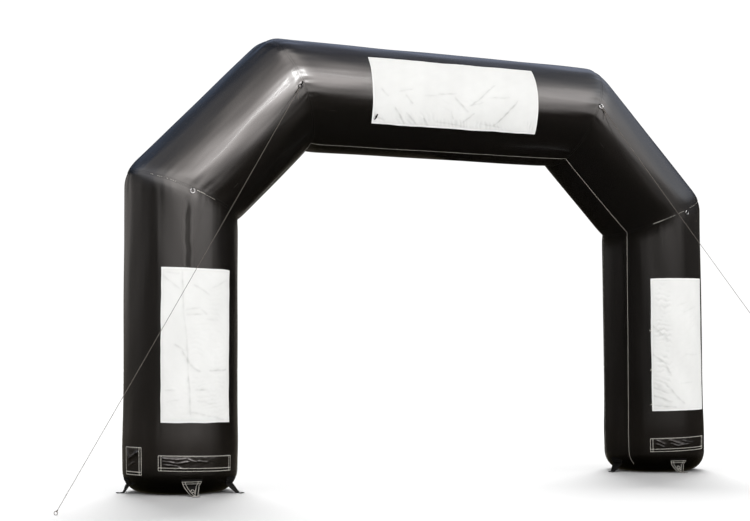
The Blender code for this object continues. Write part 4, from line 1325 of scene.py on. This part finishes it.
def sew_flap(node, tube_name, sheet, folds, seed, inner_sides):
    """A flap or pocket of coated cloth with raised folds, and its two rows of pale stitching."""

    def relief(u, v):
        loose = share_of((edge_distance(sheet, u, v) - FLAP_SEWN) / FLAP_LOOSE)
        quilted = FLAP_WAVES * loose * (1 + uneven(seed, 0.05, 0.3, u, v))
        raised = FLAP_FOLD_DEPTH * loose * np.maximum(0.0, crease_height(folds, u, v))
        return np.maximum(0.0, quilted) + raised

    cloth = Cloth(tube_name, sheet, relief)
    cloth.piece(f"cloth_{node}", "coated", "flap_fabric", node, 0.006, CLOTH)
    pattern = Pattern()
    thread = bpy.context.scene.arch_sizes.flap_thread
    for inset, sides in ((OUTER_ROW, "btlr"), (INNER_ROW, inner_sides)):
        cloth.stitch(pattern, cloth.outline(inset, sides, OUTER_ROW), CLOTH, thread, FLAP_STITCH, FLAP_PITCH)
    sewn(pattern, f"stitching_{node}", "thread", "flap_fabric")


class ARCH_OT_flaps(bpy.types.Operator):
    """Sew on the zip flaps and the blower pocket"""

    bl_idname = "arch.flaps"
    bl_label = "Zip Flaps and Blower Pocket"

    def execute(self, context):
        for row in FLAPS:
            sew_flap(*row)
        return {"FINISHED"}


# -------- anchor tabs


def outward_at(azimuth):
    """The level directions at these azimuths, from -Y towards +X."""
    return np.stack([np.sin(azimuth), -np.cos(azimuth), 0 * azimuth], axis=-1)


class Tab:
    """An anchor tab: sewn flat on the skin, then out and down to lie on the floor.

    Across runs from -1 to 1 over its width, and run is the distance down it from its upper edge.
    """

    def __init__(self, name, side, root_azimuth, tip_azimuth, reach):
        self.name, self.side, self.reach = name, side, reach
        self.root, self.tip = math.radians(root_azimuth), math.radians(tip_azimuth)
        self.tube = TUBES["leg_left" if side < 0 else "leg_right"]
        self.profile = self.make_profile()
        steps = np.hypot(*np.diff(self.profile[:, :2], axis=0).T)
        self.run = np.concatenate([[0.0], np.cumsum(steps)])
        self.length = self.run[-1]
        self.eyelet_run = self.length - EYELET_FROM_TIP

    def make_profile(self):
        """(radius, height, share of the way to the tip) down the tab."""
        rows = [(self.skin_radius(height), height, 0.0) for height in np.linspace(TAB_TOP, TAB_LEAVES, 12)]
        start = np.array([self.skin_radius(TAB_LEAVES), TAB_LEAVES])
        end = np.array([self.reach - TAB_FLAT, TAB_REST])
        bend = np.array([start[0] * 0.45 + end[0] * 0.55, TAB_LEAVES * 0.3])
        way = float(np.linalg.norm(end - start))
        for t in np.linspace(0.0, 1.0, 25)[1:]:
            rows.append((*bent(start, bend, end, t), t * way / (way + TAB_FLAT)))
        for t in np.linspace(0.0, 1.0, 9)[1:]:
            rows.append((self.reach - TAB_FLAT * (1 - t), TAB_REST, (way + t * TAB_FLAT) / (way + TAB_FLAT)))
        return np.array(rows)

    def profile_at(self, run, column):
        return np.interp(run, self.run, self.profile[:, column])

    def width_at(self, run):
        """The tab's width, which narrows with its height above the floor."""
        share = share_of((self.profile_at(run, 1) - TAB_REST) / (TAB_TOP - TAB_REST))
        return TAB_TIP_WIDTH + (TAB_ROOT_WIDTH - TAB_TIP_WIDTH) * share**TAB_TAPER

    def skin_radius(self, height):
        along = np.array(self.tube.height(height))
        return float(self.tube.radius_at(np.array(self.side * self.root), along)) + TAB_LIFT

    def at(self, across, run, lift=0.0):
        """Points over the tab's middle surface, raised by a lift."""
        across, run = np.broadcast_arrays(np.asarray(across, float), np.asarray(run, float))
        radius, height, way = (self.profile_at(run, column) for column in range(3))
        step = 0.002
        slope = self.profile_at(run + step, 0) - self.profile_at(run - step, 0)
        fall = self.profile_at(run - step, 1) - self.profile_at(run + step, 1)
        size = np.hypot(slope, fall)
        radius = (radius + lift * fall / size)[..., None]
        azimuth = self.root + (self.tip - self.root) * way
        half_width = across * self.width_at(run) / 2
        flat = outward_at(azimuth) * radius + outward_at(azimuth + math.pi / 2) * half_width[..., None]
        round_leg = outward_at(azimuth + half_width / TUBE_RADIUS) * radius
        on_skin = share_of(1 - way / TAB_UNBENDS)[..., None]
        points = flat * (1 - on_skin) + round_leg * on_skin
        points[..., 0] += self.side * LEG_X
        points[..., 2] += height + lift * slope / size
        return points


def bent(start, bend, end, t):
    """A place on the curve from start to end that bends towards a third."""
    return start * (1 - t) ** 2 + bend * 2 * t * (1 - t) + end * t**2


def sew_tab(thread, tab, across, run, lift, width=TAB_THREAD):
    """A row of stitches over a tab."""
    spots = tab.at(across, run, WEBBING / 2 + lift)
    outward = tab.at(across, run, 0.02) - tab.at(across, run)
    stitch_line(thread, spots, outward, width, 0.013, 0.015)


def tab_objects(tab):
    """The tab with the opening for its eyelet, its edge tapes and its stitching."""
    facing = tab.at(0.0, 0.02) - np.array([tab.side * LEG_X, 0.0, 0.0])
    facing = (facing[0], facing[1], 0.05)
    fine_from = tab.length - 0.09  # the mesh is fine round the eyelet
    run = np.concatenate([spaced(0.0, fine_from, 0.007)[:-1], spaced(fine_from, tab.length, 0.003)])
    across = np.linspace(-1.0, 1.0, 41)
    body = Pattern()
    body.grid(tab.at(across[None, :], run[:, None]), chart_of(across[None, :] * 0.1, run[:, None]))
    obj = body.made(f"webbing_tab_{tab.name}", finish("webbing"), facing=facing)
    open_eyelet(obj, tab.at(0.0, tab.eyelet_run))
    fit_on(thicken(obj, WEBBING, offset=0.0), "tab_webbing", f"tab_{tab.name}")

    tapes, thread = Pattern(), Pattern()
    rows = spaced(0.03, tab.length - 0.004, 0.006)
    half = tab.width_at(rows) / 2
    stations = np.linspace(0.0, 1.0, 7)
    clear = (EYELET_HOLE + EYELET_FLANGE + 0.002) / half  # the tapes end beside the eyelet
    outer = 1 - 0.001 / half
    near_eyelet = np.abs(rows - tab.eyelet_run) < 0.034
    inner = np.maximum(1 - TAB_BAND / half, np.where(near_eyelet, clear, 0.03))
    for sign in (-1, 1):
        spread = sign * (outer[:, None] + (inner - outer)[:, None] * stations[None, :])
        lifted = tab.at(spread, rows[:, None], WEBBING / 2 + 0.0012)
        tapes.grid(lifted, chart_of(stations[None, :] * TAB_BAND, rows[:, None]))
        for share in (0.1, 0.9):
            sew_tab(thread, tab, sign * (outer + (inner - outer) * share), rows, 0.0028)
    for level in (0.032, 0.060):  # two rows across the root
        sew_tab(thread, tab, np.linspace(-0.95, 0.95, 30), np.full(30, level), 0.002)
    bow = np.linspace(-1.0, 1.0, 24)
    for level, rise, reach in ((0.52, 0.035, 0.34), (0.62, 0.03, 0.30)):  # and two bows lower down
        sew_tab(thread, tab, bow * reach, tab.length * level - rise * (1 - bow**2), 0.0022, 0.010)
    tape = tapes.made(f"tapes_tab_{tab.name}", finish("webbing"), facing=facing)
    fit_on(thicken(tape, TAPE, offset=0.0), "tab_webbing")
    kind = "thread" if tab.name.endswith("front") else "dark_thread"  # painted shade: the other tabs are lit less, so their pale thread is drawn dark
    sewn(thread, f"stitching_tab_{tab.name}", kind, "tab_webbing")


def open_eyelet(obj, centre):
    """Opens a tab's cloth where the eyelet is pressed in; the flange covers the edge."""
    bm = bmesh.new()
    bm.from_mesh(obj.data)
    middle = Vector(centre)
    within = [f for f in bm.faces if (f.calc_center_median() - middle).length < EYELET_HOLE + 0.006]
    bmesh.ops.delete(bm, geom=within, context="FACES")
    bm.to_mesh(obj.data)
    bm.free()


def eyelet_object(tab):
    """The pressed steel eyelet in a tab: a wall through the hole, with a rolled flange each side."""
    middle = tab.at(0.0, tab.eyelet_run)
    inner = WEBBING / 2 + GAP
    outer = inner + EYELET_METAL + 0.0012
    crown = np.radians(np.linspace(180, 0, 9))
    radius = EYELET_HOLE + EYELET_FLANGE / 2 * (1 + np.cos(crown))
    height = inner + (outer - inner) * np.sin(crown) ** 0.8
    over = list(zip(radius, height))
    wall = EYELET_HOLE + EYELET_WALL
    under = [(r, -min(h, inner + EYELET_METAL)) for r, h in reversed(over)]
    profile = [*over, (wall, inner), (wall, -inner), *under, (EYELET_HOLE, -inner), (EYELET_HOLE, inner), over[0]]
    profile = np.array(profile)
    turn = np.arange(40) * math.tau / 40
    across, up = profile[:, :1], profile[:, 1:]
    points = np.stack([across * np.cos(turn), across * np.sin(turn), up + 0.0 * turn], axis=-1) + middle
    pattern = Pattern()
    round_it = np.append(turn, math.tau) * EYELET_HOLE
    pattern.grid(points, chart_of(round_it[None, :], up), closed=True)
    fit_on(pattern.made(f"steel_eyelet_{tab.name}", finish("steel")), "steel", f"eyelet_{tab.name}")


class ARCH_OT_anchor_tabs(bpy.types.Operator):
    """Sew on the anchor tabs and press in their eyelets"""

    bl_idname = "arch.anchor_tabs"
    bl_label = "Anchor Tabs"

    def execute(self, context):
        for row in TABS:
            tab = Tab(*row)
            tab_objects(tab)
            eyelet_object(tab)
        return {"FINISHED"}


# -------- guy points and ropes


class GuyPoint:
    """A strap sewn into a mitre at the front, worked out on the arch's left side."""

    def __init__(self, name, side, upper, angle, strap):
        self.name, self.side, self.upper, self.strap = name, side, upper, strap
        tube = TUBES["shoulder_left" if upper else "leg_left"]
        turn = math.radians(angle)
        radius = SEAM_RADIUS * math.cos(FACET / 2) / math.cos(turn % FACET - FACET / 2) + 3 * GAP
        corner = CORNER_DROP * math.sin(turn) ** 2
        along = tube.length + (SEAM_RADIUS - corner) * math.sin(turn) * MITRE_SLOPE - GAP / 2
        self.root = Vector(tube.point(np.array(turn), np.array(along), np.array(radius - corner)))
        self.pull = (ROPE_END - self.root).normalized() if upper else DOWN
        facet_turn = FACET * (turn // FACET + 0.5)
        facet_normal = Vector(FRONT * math.cos(facet_turn) + tube.outward * math.sin(facet_turn))
        self.sideways = self.pull.cross(facet_normal).normalized()
        self.outward = self.sideways.cross(self.pull).normalized()
        self.wire_lift = WEBBING / 2 + STRAP_TURN
        self.ring = self.root + self.pull * (strap + RING_RADIUS) + self.outward * self.wire_lift

    def placed(self, points):
        """Points of the left side, mirrored for a guy point on the right."""
        points = np.array(points, float)
        if self.side > 0:
            points[..., 0] *= -1
        return points


def ring_object(guy):
    """The welded steel ring."""
    turn = np.arange(56) * math.tau / 56
    loop = [guy.ring + (guy.pull * math.cos(t) + guy.sideways * math.sin(t)) * RING_RADIUS for t in turn]
    pattern = Pattern()
    pattern.sweep(guy.placed(loop), WIRE_RADIUS, sides=14, closed=True)
    # painted shade: the left upper ring is the same nickel-plated steel, drawn dark as it is seen in shade
    kind = "shaded_steel" if guy.name == "left_upper" else "steel"
    fit_on(pattern.made(f"steel_ring_{guy.name}", finish(kind)), "steel", f"guy_ring_{guy.name}")


def strap_object(guy):
    """The webbing strap that holds the ring, bunched where it turns round the wire."""
    near = WEBBING / 2
    back = near + WEBBING + 4 * SLACK
    path = [(0.0, near, 0.0), (guy.strap * 0.5, near, 0.5)]  # (along, lift, share of the gather)
    for t in np.radians(np.arange(-90, 136, 15)):
        path.append((guy.strap + STRAP_TURN * math.cos(t), guy.wire_lift + STRAP_TURN * math.sin(t), 1.0))
    path.append((0.0, back, 0.0))
    path = np.array(path)
    along, lift, gather = (path[:, k : k + 1] for k in range(3))
    across = STRAP_WIDTH / 2 * (1 - STRAP_GATHER * gather) * np.linspace(-1.0, 1.0, 9)
    along = along + gather * (RING_RADIUS - np.sqrt(RING_RADIUS**2 - across**2))
    pull, outward, sideways = (np.array(axis) for axis in (guy.pull, guy.outward, guy.sideways))
    points = np.array(guy.root) + pull * along[..., None] + outward * lift[..., None] + sideways * across[..., None]
    pattern = Pattern()
    pattern.grid(guy.placed(points), chart_of(across, run_along(path[:, :2])[:, None]))
    obj = pattern.made(f"webbing_strap_{guy.name}", finish("webbing"), facing=guy.placed(outward))
    fit_on(thicken(obj, WEBBING, offset=0.0), "webbing", f"guy_strap_{guy.name}")


def tie_eye(pattern, guy, start, direction, sideways, half_width, eye_length, core_from):
    """Ties a rope's eye: a loop with two round ends, and the coil of rope that closes it."""
    reach = KNOT_LENGTH - 2 * ROPE_RADIUS
    loop = []
    for place, first in ((half_width, 90), (eye_length - half_width, 270)):
        for t in np.radians(np.arange(first, first + 181, 15)):
            aside = direction * math.cos(t) + sideways * math.sin(t)
            loop.append(start + direction * place + aside * half_width)
    pattern.sweep(guy.placed(loop), ROPE_RADIUS, closed=True)
    coil_from = start + direction * (eye_length - ROPE_RADIUS)
    third = direction.cross(sideways)
    coil = []
    for t in np.linspace(0.0, 1.0, 60):
        turn = t * KNOT_TURNS * math.tau
        aside = sideways * math.cos(turn) + third * math.sin(turn)
        swell = KNOT_RADIUS * (0.85 + 0.15 * math.sin(math.pi * t))
        coil.append(coil_from + direction * (reach * t) + aside * swell)
    pattern.sweep(guy.placed(coil), ROPE_RADIUS)
    core = [start + direction * (eye_length + t) for t in (*core_from, reach)]
    pattern.sweep(guy.placed(core), ROPE_RADIUS)
    return start + direction * (eye_length + reach + GAP)


def rope_objects(guy, word):
    """A guy rope: the knotted eye on its ring, the taut run and the knotted eye on the floor."""

    def corded(pattern, name, node):
        return fit_on(pattern.made(name, finish("rope")), "rope", node)

    start = guy.ring + guy.pull * (RING_RADIUS - (WIRE_RADIUS + ROPE_RADIUS + SLACK))
    knot = Pattern()
    top = tie_eye(knot, guy, start, guy.pull, guy.outward, EYE_RADIUS, EYE_LENGTH, (-0.004, 0.01))
    root = start + guy.pull * EYE_LENGTH
    clear = root + guy.outward * TAIL_CLEARANCE
    turned, hanging = clear + DOWN * TAIL_CLEARANCE, clear + DOWN * TAIL_LENGTH
    tail = [bent(root, turned, hanging, t) for t in np.linspace(0, 1, 14)]
    knot.sweep(guy.placed(tail), TAIL_RADIUS)
    corded(knot, f"rope_knot_{word}", f"guy_knot_{word}")

    floor_eye = ROPE_END + UP * (2 * ROPE_RADIUS)
    rise = (top - floor_eye).normalized()
    aside = rise.cross(Vector(FRONT)).normalized()
    eye = Pattern()
    bottom = tie_eye(eye, guy, floor_eye, rise, aside, FLOOR_EYE_RADIUS, 2 * FLOOR_EYE_RADIUS, (-0.004,))
    eye_obj = corded(eye, f"rope_eye_{word}", f"guy_eye_{word}")

    shares = np.linspace(0.0, 1.0, ROPE_POINTS)
    route = guy.placed([top.lerp(bottom, s) + DOWN * (4 * ROPE_SAG * s * (1 - s)) for s in shares])
    rope = Pattern()
    rope.sweep(route, ROPE_TAUT_RADIUS)
    corded(rope, f"guy_rope_run_{word}", f"guy_rope_{word}")


class ARCH_OT_guy_points(bpy.types.Operator):
    """Sew in the straps at the mitres and hang their rings"""

    bl_idname = "arch.guy_points"
    bl_label = "Guy Straps and Rings"

    def execute(self, context):
        for guy in (GuyPoint(*row) for row in GUYS):
            strap_object(guy)
            ring_object(guy)
        return {"FINISHED"}


class ARCH_OT_guy_ropes(bpy.types.Operator):
    """Tie the guy ropes to the upper rings"""

    bl_idname = "arch.guy_ropes"
    bl_label = "Guy Ropes"

    def execute(self, context):
        for guy in (GuyPoint(*row) for row in GUYS):
            if guy.upper:
                rope_objects(guy, "left" if guy.side < 0 else "right")
        return {"FINISHED"}


# -------- stage

CAMERA_PLACE = Vector((-10.028, -18.656, 1.777))
CAMERA_YAW, CAMERA_PITCH, CAMERA_ROLL = -25.974, 3.549, -0.225  # degrees
LENS = 71.61


def add_camera():
    """The camera, at a standing person's eye height in front of the left leg."""
    data = bpy.data.cameras.new("camera")
    data.lens = LENS
    data.sensor_width = 36.0
    data.clip_end = 200.0
    camera = put("camera", data)
    yaw, pitch, roll = (math.radians(a) for a in (CAMERA_YAW, CAMERA_PITCH, CAMERA_ROLL))
    turn = Matrix.Rotation(yaw, 4, "Z") @ Matrix.Rotation(math.radians(90) + pitch, 4, "X")
    camera.matrix_world = Matrix.Translation(CAMERA_PLACE) @ turn @ Matrix.Rotation(roll, 4, "Z")
    bpy.context.scene.camera = camera


# The surround that gloss mirrors. Its brightness is a share by the way round, from -Y towards +X, times a
# share by the height above the horizon; it is brightest in front, bluer behind, and dim at the horizon,
# where a band of its own has sharper sides
SURROUND_STRENGTH = 8.7
ROUND_STOPS = (  # (degrees round, share, red, green and blue of it)
    (-180, 0.024, (0.7, 0.92, 1.38)), (-150, 0.034, (0.74, 0.93, 1.33)), (-136, 0.1, (0.88, 0.95, 1.16)),
    (-122, 0.18, (0.98, 0.98, 1.03)), (-90, 0.2, (0.97, 0.97, 1.06)), (-60, 0.32, (1.02, 0.99, 0.99)),
    (-30, 0.64, (1.05, 0.99, 0.96)), (-5, 0.88, (1.05, 0.99, 0.96)), (10, 1.0, (1.05, 0.99, 0.96)),
    (25, 0.92, (1.05, 0.99, 0.96)), (45, 0.58, (1.03, 0.99, 0.98)), (60, 0.29, (0.98, 0.99, 1.03)),
    (80, 0.15, (0.93, 0.98, 1.09)), (100, 0.095, (0.91, 0.97, 1.12)), (125, 0.075, (0.87, 0.95, 1.18)),
    (150, 0.065, (0.81, 0.93, 1.26)), (180, 0.045, (0.76, 0.93, 1.31)),
)
HEIGHT_STOPS = (  # (degrees above the horizon, share of the strength)
    (3, 0.0), (8, 0.1), (12, 0.26), (17, 0.5), (22, 0.8), (27, 1.03), (32, 0.95), (40, 0.66), (48, 0.49),
    (56, 0.38), (64, 0.42), (75, 0.5),
)
BAND_ROUND_STOPS = (  # (degrees round, share)
    (-180, 0.12), (-163, 0.22), (-151, 0.28), (-138, 0.19), (-115, 0.24), (-98, 0.2), (-88, 0.05), (-76, 0.0),
    (-66, 0.04), (-57, 0.46), (-44, 0.7), (-20, 0.86), (12, 1.0), (34, 0.98), (42, 0.72), (50, 0.24), (60, 0.2),
    (85, 0.17), (104, 0.07), (125, 0.035), (179, 0.05),
)
BAND_TINT = (1.04, 0.99, 0.97)
BAND_STOPS = (  # (degrees above the horizon, share of the strength)
    (-3, 0.0), (0, 0.03), (2, 0.13), (5, 0.21), (8, 0.2), (12, 0.11), (17, 0.0),
)
HORIZON_RISE = 0.07  # how much higher the sides' horizon stands than the front's, as a sine
GROUND_STOPS = (  # (degrees above the horizon, share of the strength)
    (-90, (0.0004, 0.0003, 0.0001)), (-45, (0.0012, 0.001, 0.0004)), (-18, (0.0042, 0.0036, 0.0024)),
    (-4, (0.013, 0.0115, 0.0095)), (6, (0.01, 0.009, 0.008)), (14, (0.0, 0.0, 0.0)),
)
EVEN_LIGHT = 0.56  # the surround's even light on matt surfaces
SEEN_LIGHT = 1.05  # how bright the surround itself looks


def sine(degrees):
    return math.sin(math.radians(degrees))


def soft_surround():
    """A plain white studio: even light for matt surfaces, and the graded surround that gloss mirrors."""
    world = bpy.data.worlds.new("studio")
    bpy.context.scene.world = world
    world.use_nodes = True
    tree = world.node_tree
    tree.nodes.clear()
    parts = add_node(tree, "SeparateXYZ", links={0: add_node(tree, "TexCoord")})
    up = (parts, "Z")
    forward = add_node(tree, "Math", {1: -1.0}, {0: (parts, "Y")}, operation="MULTIPLY")
    turned = add_node(tree, "Math", links={0: (parts, "X"), 1: forward}, operation="ARCTAN2")
    half_turns = add_node(tree, "Math", {1: math.pi}, {0: turned}, operation="DIVIDE")
    frontness = add_node(tree, "Math", links={0: turned}, operation="COSINE")
    lowered = add_node(tree, "Math", {1: HORIZON_RISE}, {0: frontness, 2: up}, operation="MULTIPLY_ADD")

    around = ramp(tree, half_turns, [(a / 180, [share * c for c in tint]) for a, share, tint in ROUND_STOPS])
    upward = ramp(tree, lowered, [(sine(a) + HORIZON_RISE, (c, c, c)) for a, c in HEIGHT_STOPS])
    band_round = ramp(tree, half_turns, [(a / 180, [share * c for c in BAND_TINT]) for a, share in BAND_ROUND_STOPS])
    band = ramp(tree, up, [(sine(a), (c, c, c)) for a, c in BAND_STOPS])
    ground = ramp(tree, up, [(sine(a), c) for a, c in GROUND_STOPS])
    whole = {"Factor": 1.0}
    sky, level = (
        (add_node(tree, "Mix", whole, {"A": round_it, "B": upright}, data_type="RGBA", blend_type="MULTIPLY"), 2)
        for round_it, upright in ((around, upward), (band_round, band))
    )
    for layer in (level, ground):
        sky = (add_node(tree, "Mix", whole, {"A": sky, "B": layer}, data_type="RGBA", blend_type="ADD"), 2)

    white = (1.0, 1.0, 1.0, 1.0)
    gloss = add_node(tree, "Background", {"Strength": SURROUND_STRENGTH}, {"Color": sky})
    plain = add_node(tree, "Background", {"Color": white, "Strength": EVEN_LIGHT})
    seen = add_node(tree, "Background", {"Color": white, "Strength": SEEN_LIGHT})
    path = add_node(tree, "LightPath")
    matt = add_node(tree, "MixShader", links={0: (path, "Is Camera Ray"), 1: plain, 2: seen})
    mixed = add_node(tree, "MixShader", links={0: (path, "Is Glossy Ray"), 1: matt, 2: gloss})
    add_node(tree, "OutputWorld", links={"Surface": mixed})


def ramp(tree, value, stops):
    """A colour ramp over a value that runs from -1 to 1."""
    scaled = add_node(tree, "MapRange", {"From Min": -1.0, "From Max": 1.0}, {"Value": value})
    node = add_node(tree, "ValToRGB", links={0: scaled})
    elements = node.color_ramp.elements
    while len(elements) < len(stops):
        elements.new(0.5)
    for element, (height, shade) in zip(elements, stops):
        element.position = (height + 1) / 2
        element.color = (*shade, 1.0)
    return node


def direction(azimuth, elevation):
    """The direction at an azimuth, from -Y towards +X, and an elevation, both in degrees."""
    turn, rise = math.radians(azimuth), math.radians(elevation)
    return Vector((math.sin(turn) * math.cos(rise), -math.cos(turn) * math.cos(rise), math.sin(rise)))


def add_sun(name, azimuth, elevation, angle, strength):
    """A broad soft light from far away, which lights matt surfaces only."""
    data = bpy.data.lights.new(name, "SUN")
    data.energy = strength
    data.angle = math.radians(angle)
    light = put(name, data)
    light.rotation_euler = (-direction(azimuth, elevation)).to_track_quat("-Z", "Y").to_euler()
    light.visible_glossy = False
    return light


def gathered(name, objects):
    """A collection of objects, for a light to be limited to."""
    group = bpy.data.collections.new(name)
    for obj in objects:
        group.objects.link(obj)
    return group


# Narrow lights that gloss mirrors as a bright line along a tube: the tube, the line's angle in degrees,
# where it starts and ends along the tube in metres, its power in watts and its width
STRIPS = (
    ("shoulder_left", 15.0, 0.5, 2.2, 84.0, 0.30),
    ("shoulder_left", 15.5, 1.85, 2.35, 85.0, 0.42),
    ("beam", 14.5, -0.02, 0.95, 20.0, 0.26),
)
STRIP_DISTANCE = 14.0


def mirrored_spot(tube, angle, along):
    """The point that the camera sees mirrored at an angle and a distance along a tube."""
    spot = tube.point(angle, along, tube.full_radius)
    normal = tube.point(angle, along, 1.0) - tube.point(angle, along, 0.0)
    to_camera = np.array(CAMERA_PLACE) - spot
    to_camera /= np.linalg.norm(to_camera)
    return spot + STRIP_DISTANCE * (2 * normal.dot(to_camera) * normal - to_camera), spot


def add_strip(name, angle, first, last, power, width):
    """A narrow light that a tube's gloss mirrors as a bright line."""
    tube, angle = TUBES[name], np.array(math.radians(angle))
    start, spot = mirrored_spot(tube, angle, np.array(first))
    end, other = mirrored_spot(tube, angle, np.array(last))
    size = (float(np.linalg.norm(end - start)), width)
    area_light("strip_" + name, start, end, (spot + other) / 2, size, power)


def area_light(name, start, end, spot, size, power):
    """A rectangle of light between two points, facing a spot, which only gloss shows."""
    long_way = Vector(end - start)
    centre = Vector((start + end) / 2)
    facing = (centre - Vector(spot)).normalized()
    data = bpy.data.lights.new(name, "AREA")
    data.shape = "RECTANGLE"
    data.size, data.size_y = size
    data.energy = power
    light = put(data.name, data)
    across = facing.cross(long_way).normalized()
    turn = Matrix((across.cross(facing).normalized(), across, facing)).transposed()
    light.matrix_world = Matrix.Translation(centre) @ turn.to_4x4()
    light.visible_camera = light.visible_diffuse = False
    return light


# The light that gloss mirrors as a bright patch on the ridge of the left upper mitre: its angle in degrees,
# its size along the way from one tube's mirrored line to the other's and across it, and its power in watts
RIDGE_ANGLE, RIDGE_SIZE, RIDGE_POWER = 14.3, (0.75, 3.2), 460.0

RIDGE_SHARE = 0.86  # the light lies about the middle of this share of the way


def add_ridge_light(lit):
    """The light for the ridge where the left shoulder meets the beam."""
    angle = np.array(math.radians(RIDGE_ANGLE))
    shoulder, beam = TUBES["shoulder_left"], TUBES["beam"]
    start, spot = mirrored_spot(shoulder, angle, np.array(shoulder.length))
    end, other = mirrored_spot(beam, angle, np.array(0.0))
    end = start + (end - start) * RIDGE_SHARE
    light = area_light("ridge_light", start, end, (spot + other) / 2, RIDGE_SIZE, RIDGE_POWER)
    light.light_linking.receiver_collection = gathered("ridge_lit", lit)


# The light from behind that lays each leg's soft shadow straight forward, as the camera sees it: the side
# of the floor that it lights and its azimuth. Pieces that stay above LOW_PIECE throw no shadow in it
REAR_LIGHTS = ((-1, 161.5), (1, 143.5))
REAR_ELEVATION, REAR_ANGLE, REAR_STRENGTH = 45.0, 28.0, 2.7
LOW_PIECE = 1.0  # metres
FLOOR_REACH, FLOOR_DROP = 150.0, -0.001


def add_floor_light(side, azimuth, pieces):
    """Half of the pale floor, which gloss doesn't mirror, and the rear light over it."""
    word = "left" if side < 0 else "right"
    mesh = bpy.data.meshes.new("floor_" + word)
    corners = ((0, -1), (side, -1), (side, 1), (0, 1))
    mesh.from_pydata([(x * FLOOR_REACH, y * FLOOR_REACH, FLOOR_DROP) for x, y in corners], [], [(0, 1, 2, 3)])
    mesh.materials.append(finish("floor"))
    floor = put(mesh.name, mesh)
    floor.visible_glossy = False
    floor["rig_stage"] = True
    low_pieces = [o for o in pieces if min(corner[2] for corner in o.bound_box) < LOW_PIECE]
    light = add_sun("rear_light_" + word, azimuth, REAR_ELEVATION, REAR_ANGLE, REAR_STRENGTH)
    light.light_linking.receiver_collection = gathered("lit_" + word, [floor])
    light.light_linking.blocker_collection = gathered("shading_" + word, low_pieces)


# Lights on the arch alone: name, azimuth, elevation, angle and strength
FILLS = (
    ("front_fill", -26.0, 12.0, 40.0, 0.55),
    ("upper_fill", 8.0, 48.0, 24.0, 1.1),
    ("back_fill", 160.0, 40.0, 40.0, 1.6),
)


def add_lights():
    """The lights: rear ones over the two halves of the floor, fills on the arch, and the narrow strips."""
    pieces = [o for o in bpy.context.scene.objects if o.type == "MESH" and not o.get("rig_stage")]
    for side, azimuth in REAR_LIGHTS:
        add_floor_light(side, azimuth, pieces)
    for row in FILLS:
        add_sun(*row).light_linking.receiver_collection = gathered(row[0] + "_lit", pieces)
    for row in STRIPS:
        add_strip(*row)
    add_ridge_light([o for o in pieces if o.name in ("tube_shoulder_left", "tube_beam")])


NET_CENTRE = (3.9, -0.3)  # the dark net's own middle, near the right leg
NET_RADIUS, NET_HEIGHT, NET_EDGE = 3.4, 5.6, 1.1  # metres; the top edge is soft over NET_EDGE
NET_TINT = 0.36  # the share of the surround's light that passes


def add_net():
    """A round dark net about the right leg, which dims what the gloss of that side mirrors."""
    bpy.ops.mesh.primitive_cylinder_add(
        vertices=64,
        radius=NET_RADIUS,
        depth=NET_HEIGHT,
        end_fill_type="NOTHING",
        location=(*NET_CENTRE, NET_HEIGHT / 2),
    )
    net = bpy.context.object
    net.name = "net"
    net.data.shade_smooth()
    material = bpy.data.materials.new("black_net")
    material.use_nodes = True
    tree = material.node_tree
    tree.nodes.clear()
    parts = add_node(tree, "SeparateXYZ", links={0: (add_node(tree, "TexCoord"), "Object")})
    top = NET_HEIGHT / 2
    edge = {"From Min": top - NET_EDGE, "From Max": top, "To Min": NET_TINT, "To Max": 1.0}
    thinning = add_node(tree, "MapRange", edge, {"Value": (parts, "Z")}, interpolation_type="SMOOTHSTEP")
    passed = add_node(tree, "BsdfTransparent", links={"Color": thinning})
    add_node(tree, "OutputMaterial", links={"Surface": passed})
    net.data.materials.append(material)
    net.visible_camera = net.visible_diffuse = net.visible_shadow = net.visible_transmission = False
    net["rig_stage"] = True


class ARCH_OT_stage(bpy.types.Operator):
    """Set the floor, the lights and the camera"""

    bl_idname = "arch.stage"
    bl_label = "Stage"

    def execute(self, context):
        context.scene.view_settings.view_transform = "Standard"
        add_camera()
        soft_surround()
        add_net()
        add_lights()
        return {"FINISHED"}


# -------- add-on


class ARCH_PT_panel(bpy.types.Panel):
    """The arch's pieces, sizes and colours"""

    bl_label = "Inflatable Arch"
    bl_idname = "ARCH_PT_panel"
    bl_space_type = "VIEW_3D"
    bl_region_type = "UI"
    bl_category = "Arch"

    def draw(self, context):
        layout = self.layout
        for group in (context.scene.arch_sizes, context.scene.arch_colours):
            column = layout.column(align=True)
            for name in group.__annotations__:
                column.prop(group, name)
        column = layout.column(align=True)
        for operator in OPERATORS:
            column.operator(operator.bl_idname)


OPERATORS = (
    ARCH_OT_guy_ropes,
    ARCH_OT_guy_points,
    ARCH_OT_air_tubes,
    ARCH_OT_tube_seams,
    ARCH_OT_banners,
    ARCH_OT_flaps,
    ARCH_OT_anchor_tabs,
    ARCH_OT_stage,
)
CLASSES = (ArchSizes, ArchColours, *OPERATORS, ARCH_PT_panel)


def register():
    for cls in CLASSES:
        bpy.utils.register_class(cls)
    bpy.types.Scene.arch_sizes = PointerProperty(type=ArchSizes)
    bpy.types.Scene.arch_colours = PointerProperty(type=ArchColours)


def unregister():
    del bpy.types.Scene.arch_colours
    del bpy.types.Scene.arch_sizes
    for cls in reversed(CLASSES):
        bpy.utils.unregister_class(cls)


def main():
    register()
    for operator in OPERATORS:
        group, name = operator.bl_idname.split(".")
        getattr(getattr(bpy.ops, group), name)()


if __name__ == "__main__":
    main()
